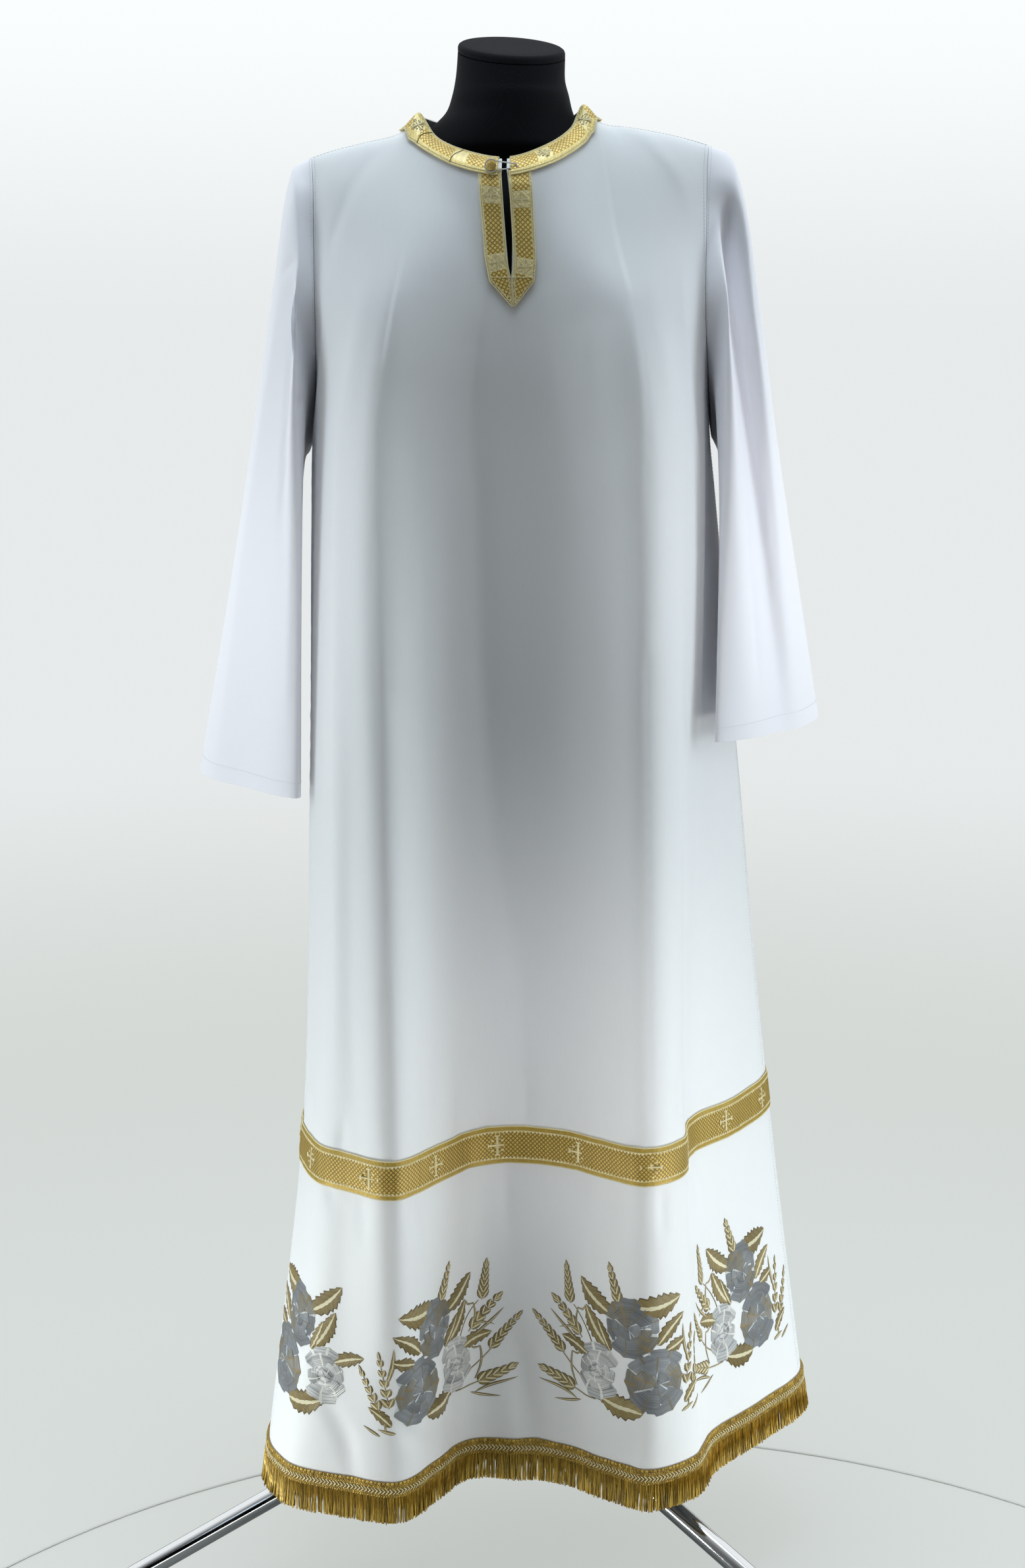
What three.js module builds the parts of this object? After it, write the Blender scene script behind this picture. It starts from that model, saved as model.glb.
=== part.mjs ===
// A church surplice, the long wide-sleeved robe worn over other dress, hanging on a limbless black
// dress form with a chrome tripod. Millimetres, +Z up, the wearer faces -Y, the stand's axis is X = 0, Y = 0
// before the whole is centred on its bounding box.
// Every cloth piece is a thin shell: its outer face comes from a table of fold lines, its inner face is the
// outer one moved in by the cloth's thickness, and all free edges are closed by narrow walls.
import * as THREE from 'three';

const CLOTH = 2.0;            // body and sleeve cloth with its lining
const TRIM = 1.2;             // woven galloon
const TRIM_GAP = 0.6;         // clear space between a galloon and the cloth under it
const SEAM = 1.1;             // half of the clear space between two sewn pieces
const CENTRE = { x: -40, y: 74 }; // middle of the finished object over the floor

const satin = new THREE.MeshStandardMaterial({ color: 0xf1eef2, roughness: 0.55 });
const gold = new THREE.MeshStandardMaterial({ color: 0xb8923e, roughness: 0.45, metalness: 0.35 });
const black = new THREE.MeshStandardMaterial({ color: 0x111111, roughness: 0.7 });
const chrome = new THREE.MeshStandardMaterial({ color: 0xc9ccd0, roughness: 0.15, metalness: 1.0 });
const rubber = new THREE.MeshStandardMaterial({ color: 0x1b1b1b, roughness: 0.9 });

const part = new THREE.Group();
part.name = 'surplice_on_dress_form';

// ---------------------------------------------------------------- fold tables
// One row per fold line of a panel, from the wearer's right side seam (-X) to the left one (+X).
// hem to yoke are [x, y] at fixed heights, collar is [x, y, z] a galloon's width below the top, and top is
// [x, y, z] on the shoulder seam (the first and last five rows) or on the neckline (the middle rows).
const LEVEL = { hem: 190, band: 560, hip: 930, arm: 1250, bust: 1380, yoke: 1470, collar: 1518, top: 1560 };
const STATION = Object.keys(LEVEL);
const KNOT = Object.values(LEVEL);
const CROSS = (...rows) => rows.map(([hem, band, hip, arm, bust, yoke, collar, top]) =>
  ({ hem, band, hip, arm, bust, yoke, collar, top }));

const FRONT = CROSS(
  // hem          band          hip           arm           bust          yoke          top
  [[-216, 0],    [-196, -8],   [-197, -8],   [-201, -5],   [-194, -80],  [-196, -60], [-197, -44, 1514], [-200, -18, 1544]], // seam
  [[-257, -146], [-214, -146], [-204, -104], [-199, -68],  [-181, -104], [-179, -76], [-178, -52, 1522], [-176, -21, 1551]],
  [[-234, -226], [-192, -238], [-184, -184], [-179, -124], [-159, -127], [-152, -92], [-150, -56, 1530], [-146, -24, 1558]],
  [[-176, -256], [-157, -271], [-156, -221], [-155, -157], [-136, -144], [-122, -104], [-118, -58, 1542], [-109, -27, 1567]],
  [[-114, -270], [-113, -291], [-121, -238], [-126, -172], [-110, -152], [-95, -111], [-98, -54, 1557], [-89, -30, 1584]],  // ridge
  [[-76, -226],  [-70, -242],  [-82, -200],  [-87, -155],  [-72, -142],  [-60, -114], [-82, -68, 1546], [-71, -50, 1560]],
  [[-42, -180],  [-34, -203],  [-40, -163],  [-42, -138],  [-33, -131],  [-28, -113], [-48, -93, 1528], [-42, -73, 1545]],
  [[12, -180],   [10, -190],   [6, -154],    [6, -134],    [5, -127],    [2, -113], [-2, -105, 1519], [-2, -89, 1537]],   // slit
  [[64, -191],   [62, -203],   [56, -163],   [53, -140],   [44, -131],   [33, -113], [42, -93, 1530], [35, -72, 1548]],
  [[106, -220],  [102, -228],  [98, -190],   [93, -156],   [79, -141],   [62, -111], [76, -66, 1551], [64, -50, 1568]],
  [[149, -245],  [143, -252],  [138, -213],  [132, -172],  [112, -150],  [92, -106], [88, -54, 1565], [78, -30, 1592]],   // ridge
  [[200, -214],  [179, -227],  [172, -192],  [162, -158],  [143, -142],  [125, -100], [106, -58, 1552], [97, -27, 1577]],
  [[223, -160],  [191, -165],  [189, -146],  [186, -124],  [166, -126],  [155, -90], [141, -56, 1543], [140, -24, 1571]],
  [[286, -86],   [246, -98],   [222, -90],   [206, -74],   [188, -104],  [182, -76], [177, -52, 1535], [178, -21, 1564]],
  [[338, -8],    [288, -8],    [249, -6],    [215, -5],    [202, -80],   [203, -60], [204, -44, 1526], [207, -18, 1556]],  // seam
);

const BACK = CROSS(
  [[-216, 0],    [-196, -8],   [-197, -8],   [-201, -5],   [-195, 58],   [-197, 52], [-198, 12, 1514], [-200, -18, 1544]], // seam
  [[-212, 82],   [-192, 72],   [-188, 62],   [-189, 52],   [-181, 84],   [-179, 70], [-178, 20, 1524], [-176, -21, 1551]],
  [[-176, 150],  [-162, 138],  [-162, 114],  [-165, 88],   [-160, 102],  [-152, 84], [-150, 24, 1530], [-146, -24, 1558]],
  [[-140, 206],  [-128, 184],  [-132, 150],  [-138, 112],  [-132, 116],  [-122, 93], [-118, 24, 1540], [-109, -27, 1567]], // ridge
  [[-86, 196],   [-82, 180],   [-92, 150],   [-102, 118],  [-99, 121],   [-92, 98], [-95, 22, 1552], [-89, -30, 1584]],
  [[-50, 150],   [-48, 144],   [-56, 130],   [-64, 112],   [-65, 119],   [-60, 100], [-80, 40, 1555], [-76, 14, 1583]],
  [[-8, 148],    [-8, 142],    [-20, 132],   [-28, 114],   [-30, 120],   [-28, 102], [-47, 68, 1550], [-46, 48, 1578]],
  [[42, 176],    [34, 166],    [18, 148],    [8, 122],     [3, 122],     [2, 103], [-4, 80, 1547], [-4, 62, 1576]],
  [[94, 198],    [80, 184],    [56, 158],    [42, 124],    [36, 121],    [32, 102], [40, 68, 1551], [40, 48, 1579]],    // ridge
  [[136, 160],   [116, 152],   [92, 138],    [76, 114],    [70, 119],    [62, 100], [74, 40, 1560], [68, 14, 1588]],
  [[178, 152],   [150, 144],   [124, 130],   [108, 112],   [102, 120],   [94, 98], [84, 22, 1561], [78, -30, 1592]],
  [[224, 184],   [190, 168],   [160, 142],   [142, 114],   [134, 116],   [125, 94], [106, 24, 1552], [97, -27, 1577]],  // ridge
  [[272, 160],   [232, 144],   [194, 116],   [170, 92],    [163, 102],   [155, 85], [142, 24, 1543], [140, -24, 1571]],
  [[314, 86],    [270, 76],    [230, 62],    [200, 52],    [189, 84],    [183, 70], [178, 20, 1537], [178, -21, 1564]],
  [[338, -8],    [288, -8],    [249, -6],    [215, -5],    [203, 58],    [205, 52], [205, 12, 1526], [207, -18, 1556]],  // seam
);
const LAST = FRONT.length - 1;
const CENTRE_LINE = 7;              // the fold line the slit is cut along
const NECK = { from: 4, to: 10 };   // fold lines whose top lies on the neckline, ends included

// Sleeves, one row per line around the tube from the outer line over the front and under the arm to the
// back. arm picks the armhole point the line starts from ([panel, height]); crown is [x, y, z] just outside
// it; upper, mid are [x, y, z] further down and cuff is [x, y] on the level lower edge.
const SLEEVE_RIGHT = {
  cuff: 900,
  side: -1,
  lines: [
    [['front', 1560], [-222, -6, 1531],   [-242, 4, 1430],    [-280, 8, 1200],    [-336, 10]],  // outer
    [['front', 1510], [-217, -46, 1510],  [-236, -52, 1410],  [-272, -48, 1195],  [-318, -46]],
    [['front', 1440], [-210, -76, 1452],  [-220, -88, 1372],  [-244, -90, 1180],  [-278, -92]],
    [['front', 1380], [-211, -94, 1388],  [-214, -108, 1330], [-222, -118, 1165], [-240, -138]], // ridge
    [['front', 1320], [-203, -74, 1318],  [-206, -92, 1285],  [-209, -122, 1150], [-213, -155]],
    [['front', 1275], [-206, -38, 1266],  [-209, -60, 1246],  [-213, -86, 1130],  [-216, -118]],
    [['back', 1262],  [-208, 6, 1249],    [-214, -8, 1232],   [-224, -26, 1120],  [-238, -52]],
    [['back', 1330],  [-206, 48, 1318],   [-216, 50, 1284],   [-236, 42, 1150],   [-264, 28]],
    [['back', 1400],  [-207, 70, 1400],   [-226, 84, 1350],   [-258, 86, 1180],   [-302, 84]],  // ridge
    [['back', 1500],  [-217, 42, 1502],   [-240, 54, 1410],   [-280, 58, 1195],   [-332, 62]],
  ],
};
const SLEEVE_LEFT = {
  cuff: 958,
  side: 1,
  lines: [
    [['front', 1560], [232, -6, 1544],    [257, 4, 1440],     [290, 8, 1240],     [339, 10]],   // outer
    [['front', 1520], [234, -44, 1516],   [254, -62, 1404],   [276, -68, 1235],   [312, -60]],  // ridge
    [['front', 1470], [217, -50, 1480],   [228, -56, 1392],   [252, -72, 1225],   [286, -90]],  // valley
    [['front', 1400], [218, -92, 1410],   [225, -108, 1350],  [236, -120, 1200],  [250, -132]], // ridge
    [['front', 1330], [211, -74, 1326],   [213, -94, 1292],   [216, -122, 1180],  [213, -155]],
    [['front', 1280], [219, -38, 1270],   [222, -58, 1250],   [226, -84, 1160],   [226, -122]],
    [['back', 1262],  [223, 6, 1249],     [230, -6, 1234],    [242, -20, 1150],   [258, -52]],
    [['back', 1330],  [216, 48, 1318],    [230, 52, 1288],    [252, 44, 1180],    [284, 26]],
    [['back', 1400],  [216, 70, 1402],    [236, 86, 1356],    [268, 88, 1200],    [312, 84]],   // ridge
    [['back', 1505],  [227, 42, 1508],    [252, 54, 1416],    [290, 58, 1230],    [336, 62]],
  ],
};

// ---------------------------------------------------------------- curves and surfaces
const vec = (p) => new THREE.Vector3(p[0], p[1], p[2]);

// Cubic through values at uneven knots, with slopes taken from the neighbours on both sides.
function throughKnots(knots, values, t) {
  let i = 0;
  while (i < knots.length - 2 && t > knots[i + 1]) i += 1;
  const slope = (k) => {
    const a = Math.max(k - 1, 0);
    const b = Math.min(k + 1, knots.length - 1);
    return values[b].clone().sub(values[a]).divideScalar(knots[b] - knots[a]);
  };
  const h = knots[i + 1] - knots[i];
  const s = (t - knots[i]) / h;
  const out = values[i].clone().multiplyScalar((1 + 2 * s) * (1 - s) ** 2);
  out.addScaledVector(slope(i), h * s * (1 - s) ** 2);
  out.addScaledVector(values[i + 1], s * s * (3 - 2 * s));
  return out.addScaledVector(slope(i + 1), h * s * s * (s - 1));
}

// Catmull-Rom between p1 and p2.
function between(p0, p1, p2, p3, s) {
  const out = p1.clone().multiplyScalar(2);
  out.addScaledVector(p2.clone().sub(p0), s);
  out.addScaledVector(p0.clone().multiplyScalar(2).addScaledVector(p1, -5).addScaledVector(p2, 4).sub(p3), s * s);
  out.addScaledVector(p3.clone().sub(p0).addScaledVector(p1, 3).addScaledVector(p2, -3), s ** 3);
  return out.multiplyScalar(0.5);
}

// A panel's outer face: u counts fold lines, v is the nominal height. Past the shoulder seam the other
// panel's collar carries the curve on, and below the arm the other panel carries it round the side seam.
function panelSurface(table, other) {
  const overShoulder = (i) => i <= NECK.from || i >= NECK.to;
  const station = (rows, i, k) => {
    const p = rows[i][STATION[k]];
    return new THREE.Vector3(p[0], p[1], p.length > 2 ? p[2] : KNOT[k]);
  };
  const line = (rows, partner, i, v) => {
    const knots = [...KNOT];
    const values = KNOT.map((_, k) => station(rows, i, k));
    if (overShoulder(i)) {
      knots.push(LEVEL.top + (LEVEL.top - LEVEL.collar));
      values.push(station(partner, i, STATION.indexOf('collar')));
    }
    // The side lines turn a corner under the arm, from the side seam into the armhole.
    const [first, end] = i > 0 && i < LAST ? [0, 9] : v <= LEVEL.arm ? [0, 4] : [3, 9];
    return throughKnots(knots.slice(first, end), values.slice(first, end), v);
  };
  const column = (i, v) => {
    if (i >= 0 && i <= LAST) return line(table, other, i, v);
    const inner = i < 0 ? 1 : LAST - 1;
    const edge = i < 0 ? 0 : LAST;
    const across = line(other, table, inner, v);
    const straight = line(table, other, edge, v).multiplyScalar(2).sub(line(table, other, inner, v));
    const open = THREE.MathUtils.smoothstep(v, LEVEL.arm - 60, LEVEL.arm + 60);
    return across.lerp(straight, open);
  };
  return (u, v) => {
    const i = Math.min(Math.max(Math.floor(u), 0), LAST - 1);
    const [p0, p1, p2, p3] = [-1, 0, 1, 2].map((k) => column(i + k, v));
    // Where the shoulder seam ends at the neck, the curve across turns a corner too.
    const corner = THREE.MathUtils.smoothstep(v, LEVEL.yoke, LEVEL.top);
    if (i === NECK.from || i === NECK.to) p0.lerp(p1.clone().multiplyScalar(2).sub(p2), corner);
    if (i + 1 === NECK.from || i + 1 === NECK.to) p3.lerp(p2.clone().multiplyScalar(2).sub(p1), corner);
    return between(p0, p1, p2, p3, u - i);
  };
}

function normalAt(surface, u, v, facing) {
  const du = surface(u + 0.02, v).sub(surface(u - 0.02, v));
  const dv = surface(u, v + 1).sub(surface(u, v - 1));
  return du.cross(dv).normalize().multiplyScalar(facing);
}

const frontSurface = panelSurface(FRONT, BACK);
const backSurface = panelSurface(BACK, FRONT);
const panels = { front: { at: frontSurface, facing: 1 }, back: { at: backSurface, facing: -1 } };

// ---------------------------------------------------------------- shells
// Turns quads over outer points into a closed shell: the inner face is the outer one moved against the
// normals, given or taken from the quads, and every edge used by one quad only gets a wall.
function shell(outer, quads, thickness, given = null, lift = 0) {
  const normals = given ?? outer.map(() => new THREE.Vector3());
  for (const [a, b, c, d] of given ? [] : quads) {
    const n = outer[c].clone().sub(outer[a]).cross(outer[d].clone().sub(outer[b]));
    for (const k of [a, b, c, d]) normals[k].add(n);
  }
  const top = outer.map((p, k) => p.clone().addScaledVector(normals[k].normalize(), lift));
  const under = top.map((p, k) => p.clone().addScaledVector(normals[k], -thickness));
  const count = outer.length;
  const index = [];
  const face = (a, b, c, d) => index.push(a, b, c, a, c, d);
  const used = new Set(quads.flatMap(([a, b, c, d]) => [`${a},${b}`, `${b},${c}`, `${c},${d}`, `${d},${a}`]));
  for (const [a, b, c, d] of quads) {
    face(a, b, c, d);
    index.push(count + a, count + c, count + b, count + a, count + d, count + c);
    for (const [s, e] of [[a, b], [b, c], [c, d], [d, a]]) {
      if (!used.has(`${e},${s}`)) face(e, s, count + s, count + e);
    }
  }
  return solid([...top, ...under], index);
}

function solid(points, index) {
  const geometry = new THREE.BufferGeometry();
  geometry.setAttribute('position', new THREE.Float32BufferAttribute(points.flatMap((p) => [p.x, p.y, p.z]), 3));
  geometry.setIndex(index);
  geometry.computeVertexNormals();
  return geometry;
}

function add(name, geometry, material) {
  geometry.translate(-CENTRE.x, -CENTRE.y, 0);
  const mesh = new THREE.Mesh(geometry, material);
  mesh.name = name;
  part.add(mesh);
}

// Quads over a rectangular grid of points, rows upward; closed joins the last column to the first.
function gridQuads(columns, rows, closed = false, flip = false) {
  const quads = [];
  for (let r = 0; r < rows - 1; r += 1) {
    for (let c = 0; c < columns - (closed ? 0 : 1); c += 1) {
      const n = (c + 1) % columns;
      const quad = [r * columns + c, r * columns + n, (r + 1) * columns + n, (r + 1) * columns + c];
      quads.push(flip ? quad.reverse() : quad);
    }
  }
  return quads;
}

const steps = (from, to, count) => Array.from({ length: count + 1 }, (_, k) => from + ((to - from) * k) / count);

// ---------------------------------------------------------------- front and back panel
const FRINGE = { top: 206, bottom: 188, end: 158 };
const BAND = { top: 562, bottom: 522 };
const SLIT = { end: 1423, halfWidth: 3.6 };
const HEIGHTS = [190, FRINGE.top, 300, 410, BAND.bottom, BAND.top, 680, 800, 930, 1040, 1150, 1250, 1310, 1370,
  SLIT.end, 1455, 1487, LEVEL.collar, 1539, LEVEL.top - SEAM];
const SIDE = 0.005; // the seam's clear space in fold-line units
const FRONT_U = steps(0, LAST, LAST * 3);
const BACK_U = steps(0, LAST, LAST * 2);
for (const list of [FRONT_U, BACK_U]) {
  list[0] = SIDE;
  list[list.length - 1] = LAST - SIDE;
}

{
  const centre = FRONT_U.indexOf(CENTRE_LINE);
  const points = [];
  const normals = [];
  const left = [];
  const right = [];
  HEIGHTS.forEach((v, r) => {
    left.push([]);
    right.push([]);
    FRONT_U.forEach((u, c) => {
      const p = frontSurface(u, v);
      left[r].push(points.length);
      right[r].push(points.length);
      if (c === centre && v > SLIT.end) {
        const rise = (v - SLIT.end) / (LEVEL.top - SLIT.end);
        const half = SLIT.halfWidth * (0.35 + 0.65 * Math.sin(Math.PI * Math.min(rise * 1.3, 1) * 0.82));
        points.push(p.clone().add(vec([-half, 0, 0])));
        right[r][c] = points.length;
        points.push(p.add(vec([half, 0, 0])));
        normals.push(normalAt(frontSurface, u, v, 1));
      } else {
        points.push(p);
      }
      normals.push(normalAt(frontSurface, u, v, 1));
    });
  });
  const quads = [];
  for (let r = 0; r < HEIGHTS.length - 1; r += 1) {
    for (let c = 0; c < FRONT_U.length - 1; c += 1) {
      const own = c < centre ? left : right;
      quads.push([own[r][c], own[r][c + 1], own[r + 1][c + 1], own[r + 1][c]]);
    }
  }
  add('front_panel', shell(points, quads, CLOTH, normals), satin);
}
{
  const points = HEIGHTS.flatMap((v) => BACK_U.map((u) => backSurface(u, v)));
  const normals = HEIGHTS.flatMap((v) => BACK_U.map((u) => normalAt(backSurface, u, v, -1)));
  add('back_panel', shell(points, gridQuads(BACK_U.length, HEIGHTS.length, false, true), CLOTH, normals), satin);
}

// ---------------------------------------------------------------- sleeves
function sleeveSurface(sleeve) {
  const knots = [0, 0.06, 0.26, 0.58, 1];
  const edge = sleeve.side < 0 ? 0 : LAST;
  const lines = sleeve.lines.map(([[panel, height], crown, upper, mid, cuff]) => {
    const start = panels[panel].at(edge, Math.min(height, LEVEL.top));
    const under = THREE.MathUtils.smoothstep(1340 - height, 0, 70);
    start.x += sleeve.side * (1.4 + 1.8 * under);
    return [start, vec(crown), vec(upper), vec(mid), vec([...cuff, sleeve.cuff])];
  });
  const n = lines.length;
  return (u, t) => {
    const i = Math.floor(u);
    const [p0, p1, p2, p3] = [-1, 0, 1, 2].map((k) => throughKnots(knots, lines[(i + k + n) % n], t));
    return between(p0, p1, p2, p3, u - i);
  };
}
for (const [name, sleeve] of [['sleeve_right', SLEEVE_RIGHT], ['sleeve_left', SLEEVE_LEFT]]) {
  const surface = sleeveSurface(sleeve);
  const around = steps(0, sleeve.lines.length, 24).slice(0, -1);
  const down = [1, 0.9, 0.79, 0.68, 0.58, 0.48, 0.37, 0.26, 0.16, 0.1, 0.06, 0.03, 0];
  const points = down.flatMap((t) => around.map((u) => surface(u, t)));
  add(name, shell(points, gridQuads(around.length, down.length, true, sleeve.side > 0), CLOTH), satin);
}

// ---------------------------------------------------------------- hem galloon and fringe
// Both follow the panel's own columns, moved out, so their faces stay parallel to the cloth.
for (const [name, list] of [['front', FRONT_U], ['back', BACK_U]]) {
  const { at, facing } = panels[name];
  const rows = [BAND.bottom, BAND.top];
  const points = rows.flatMap((v) => list.map((u) => at(u, v)));
  const normals = rows.flatMap((v) => list.map((u) => normalAt(at, u, v, facing)));
  const quads = gridQuads(list.length, rows.length, false, facing < 0);
  add(`hem_band_${name}`, shell(points, quads, TRIM, normals, TRIM + TRIM_GAP), gold);
}

// A braided heading with four-sided locks hanging from every second cell of its lower edge.
function fringe(surface, list, facing, perCell) {
  const heading = 1.6;
  const columns = list.length;
  const rows = [FRINGE.bottom, FRINGE.top];
  const lifted = rows.map((v) => list.map((u) => ({ p: surface(u, v), n: normalAt(surface, u, v, facing) })));
  const cells = (columns - 1) * perCell * 2;
  const sample = (row, k, depth) => {
    const s = k / (perCell * 2);
    const c = Math.min(Math.floor(s), columns - 2);
    const a = row[c];
    const b = row[c + 1];
    const from = a.p.clone().addScaledVector(a.n, depth);
    return from.lerp(b.p.clone().addScaledVector(b.n, depth), s - c);
  };
  const outer = TRIM_GAP + heading;
  const points = [];
  for (let k = 0; k <= cells; k += 1) {
    points.push(sample(lifted[0], k, outer), sample(lifted[1], k, outer));
    points.push(sample(lifted[1], k, TRIM_GAP), sample(lifted[0], k, TRIM_GAP));
  }
  const index = [];
  const face = (a, b, c, d) => {
    if (facing > 0) index.push(a, b, c, a, c, d);
    else index.push(a, c, b, a, d, c);
  };
  for (let k = 0; k < cells; k += 1) {
    const a = k * 4;
    const b = a + 4;
    face(a, b, b + 1, a + 1);
    face(a + 1, b + 1, b + 2, a + 2);
    face(a + 2, b + 2, b + 3, a + 3);
    if (k % 2) {
      face(a + 3, b + 3, b, a);
      continue;
    }
    const sway = [2.2 * Math.sin(k * 1.7), 1.4 * Math.sin(k * 0.9 + 1)];
    const drop = FRINGE.end - FRINGE.bottom + 2.4 * Math.sin(k * 2.3);
    const corners = [a, b, b + 3, a + 3];
    const middle = corners.reduce((sum, c) => sum.add(points[c]), new THREE.Vector3()).divideScalar(4);
    const first = points.length;
    for (const c of corners) {
      const end = points[c].clone().lerp(middle, 0.25);
      points.push(end.add(vec([sway[0], sway[1], drop])));
    }
    for (let j = 0; j < 4; j += 1) {
      const n = (j + 1) % 4;
      face(first + j, first + n, corners[n], corners[j]);
    }
    face(first + 3, first + 2, first + 1, first);
  }
  face(3, 0, 1, 2);
  const end = cells * 4;
  face(end, end + 3, end + 2, end + 1);
  return solid(points, index);
}
add('fringe_front', fringe(frontSurface, FRONT_U, 1, 2), gold);
add('fringe_back', fringe(backSurface, BACK_U, -1, 3), gold);

// ---------------------------------------------------------------- neck and slit galloons
const NECK_GAP = 2.1;

// A galloon between the neckline and the collar points, on the panel's own fold lines. Beyond the neck's
// side it runs out in a corner along the shoulder seam.
function neckStrip({ at, facing }, list, from, to) {
  const edge = LEVEL.top - SEAM;
  const columns = [from, ...list.filter((u) => u > from + 0.1 && u < to - 0.1), to];
  const low = (u) => {
    const beyond = Math.max(NECK.from - u, u - NECK.to, 0);
    return LEVEL.collar + (edge - LEVEL.collar) * beyond;
  };
  const place = (k) => columns.map((u) => [u, low(u) + (edge - low(u)) * k]);
  const spots = [0, 0.5, 1].flatMap(place);
  const normals = spots.map(([u, v]) => normalAt(at, u, v, facing));
  const quads = gridQuads(columns.length, 3, false, facing < 0);
  return shell(spots.map(([u, v]) => at(u, v)), quads, TRIM, normals, NECK_GAP + TRIM);
}
const [NECK_RIGHT, NECK_LEFT] = [NECK.from - 0.93, NECK.to + 0.93];
add('neck_galloon_right', neckStrip(panels.front, FRONT_U, NECK_RIGHT, CENTRE_LINE - 0.14), gold);
add('neck_galloon_left', neckStrip(panels.front, FRONT_U, CENTRE_LINE + 0.14, NECK_LEFT), gold);
add('neck_galloon_back', neckStrip(panels.back, BACK_U, NECK_RIGHT, NECK_LEFT), gold);

// The galloons down both sides of the slit, meeting in a point under its end.
const PLACKET = { width: 22, top: 1511, corner: 1417, tip: 1391, slitX: 7 };
function onFront(x, z) {
  let [u, v] = [CENTRE_LINE + (x - 5) / 38, z];
  for (let k = 0; k < 12; k += 1) {
    const p = frontSurface(u, v);
    const du = frontSurface(u + 0.01, v).sub(frontSurface(u - 0.01, v)).multiplyScalar(50);
    const dv = frontSurface(u, v + 0.5).sub(frontSurface(u, v - 0.5));
    const det = du.x * dv.z - du.z * dv.x;
    u += ((x - p.x) * dv.z - (z - p.z) * dv.x) / det;
    v += (du.x * (z - p.z) - du.z * (x - p.x)) / det;
  }
  return frontSurface(u, v).addScaledVector(normalAt(frontSurface, u, v, 1), NECK_GAP + TRIM);
}
for (const [name, side] of [['placket_galloon_right', -1], ['placket_galloon_left', 1]]) {
  const slitAt = (z) => PLACKET.slitX - (8 * (z - PLACKET.tip)) / (PLACKET.top - PLACKET.tip);
  const clear = (z) => 0.4 + 3.2 * THREE.MathUtils.smoothstep(z, SLIT.end - 14, SLIT.end + 20);
  const rows = [...steps(0, 1, 7).map((s) => ({ inner: PLACKET.top + (SLIT.end - PLACKET.top) * s,
    outer: PLACKET.top + 6 + (PLACKET.corner - PLACKET.top - 6) * s, reach: PLACKET.width })),
  ...[0.35, 0.7, 0.97].map((s) => ({ inner: SLIT.end + (PLACKET.tip - SLIT.end) * s,
    outer: PLACKET.corner + (PLACKET.tip - PLACKET.corner) * s, reach: PLACKET.width * (1 - s) + 0.8 }))];
  const points = rows.reverse().flatMap(({ inner, outer, reach }) => {
    const a = [slitAt(inner) + side * clear(inner), inner];
    const b = [slitAt(outer) + side * (clear(outer) + reach), outer];
    return [0, 0.5, 1].map((s) => onFront(a[0] + (b[0] - a[0]) * s, a[1] + (b[1] - a[1]) * s));
  });
  add(name, shell(points, gridQuads(3, rows.length, false, side < 0), TRIM), gold);
}

// The covered button on the wearer's right of the slit and the cord loop from the other side over it.
function sweep(path, radius, sides, closed) {
  const points = [];
  const count = path.length;
  path.forEach((p, k) => {
    const a = path[closed ? (k + count - 1) % count : Math.max(k - 1, 0)];
    const b = path[closed ? (k + 1) % count : Math.min(k + 1, count - 1)];
    const along = b.clone().sub(a).normalize();
    const right = new THREE.Vector3(0, 1, 0.02).cross(along).normalize();
    const up = along.clone().cross(right);
    for (let j = 0; j < sides; j += 1) {
      const angle = (2 * Math.PI * j) / sides;
      const r = typeof radius === 'function' ? radius(k / (count - 1)) : radius;
      points.push(p.clone().addScaledVector(right, r * Math.cos(angle)).addScaledVector(up, r * Math.sin(angle)));
    }
  });
  const index = [];
  for (const [a, b, c, d] of gridQuads(sides, count, true)) index.push(a, b, c, a, c, d);
  if (closed) {
    for (let j = 0; j < sides; j += 1) {
      const n = (j + 1) % sides;
      const a = (count - 1) * sides;
      index.push(a + j, a + n, n, a + j, n, j);
    }
  } else {
    for (let j = 1; j < sides - 1; j += 1) {
      index.push(0, j + 1, j);
      const a = (count - 1) * sides;
      index.push(a, a + j, a + j + 1);
    }
  }
  return solid(points, index);
}
{
  const seat = onFront(-15, 1527);
  const button = new THREE.SphereGeometry(5.2, 14, 10);
  button.scale(1, 0.82, 1);
  button.translate(seat.x, seat.y - 5.2, seat.z);
  add('closure_button', button, gold);
  const anchor = onFront(7, 1528);
  const path = steps(0, 1, 23).slice(0, -1).map((s) => {
    const angle = 2 * Math.PI * s;
    const across = THREE.MathUtils.lerp(seat.x, anchor.x, 0.5) + (anchor.x - seat.x + 16) * 0.5 * Math.cos(angle);
    const forward = Math.min(seat.y, anchor.y) - 5.4;
    const rise = 7.0 * Math.sign(Math.sin(angle)) * Math.abs(Math.sin(angle)) ** 0.6;
    return vec([across, forward, seat.z + rise]);
  });
  add('closure_loop', sweep(path, 0.7, 6, true), satin);
}

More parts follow.
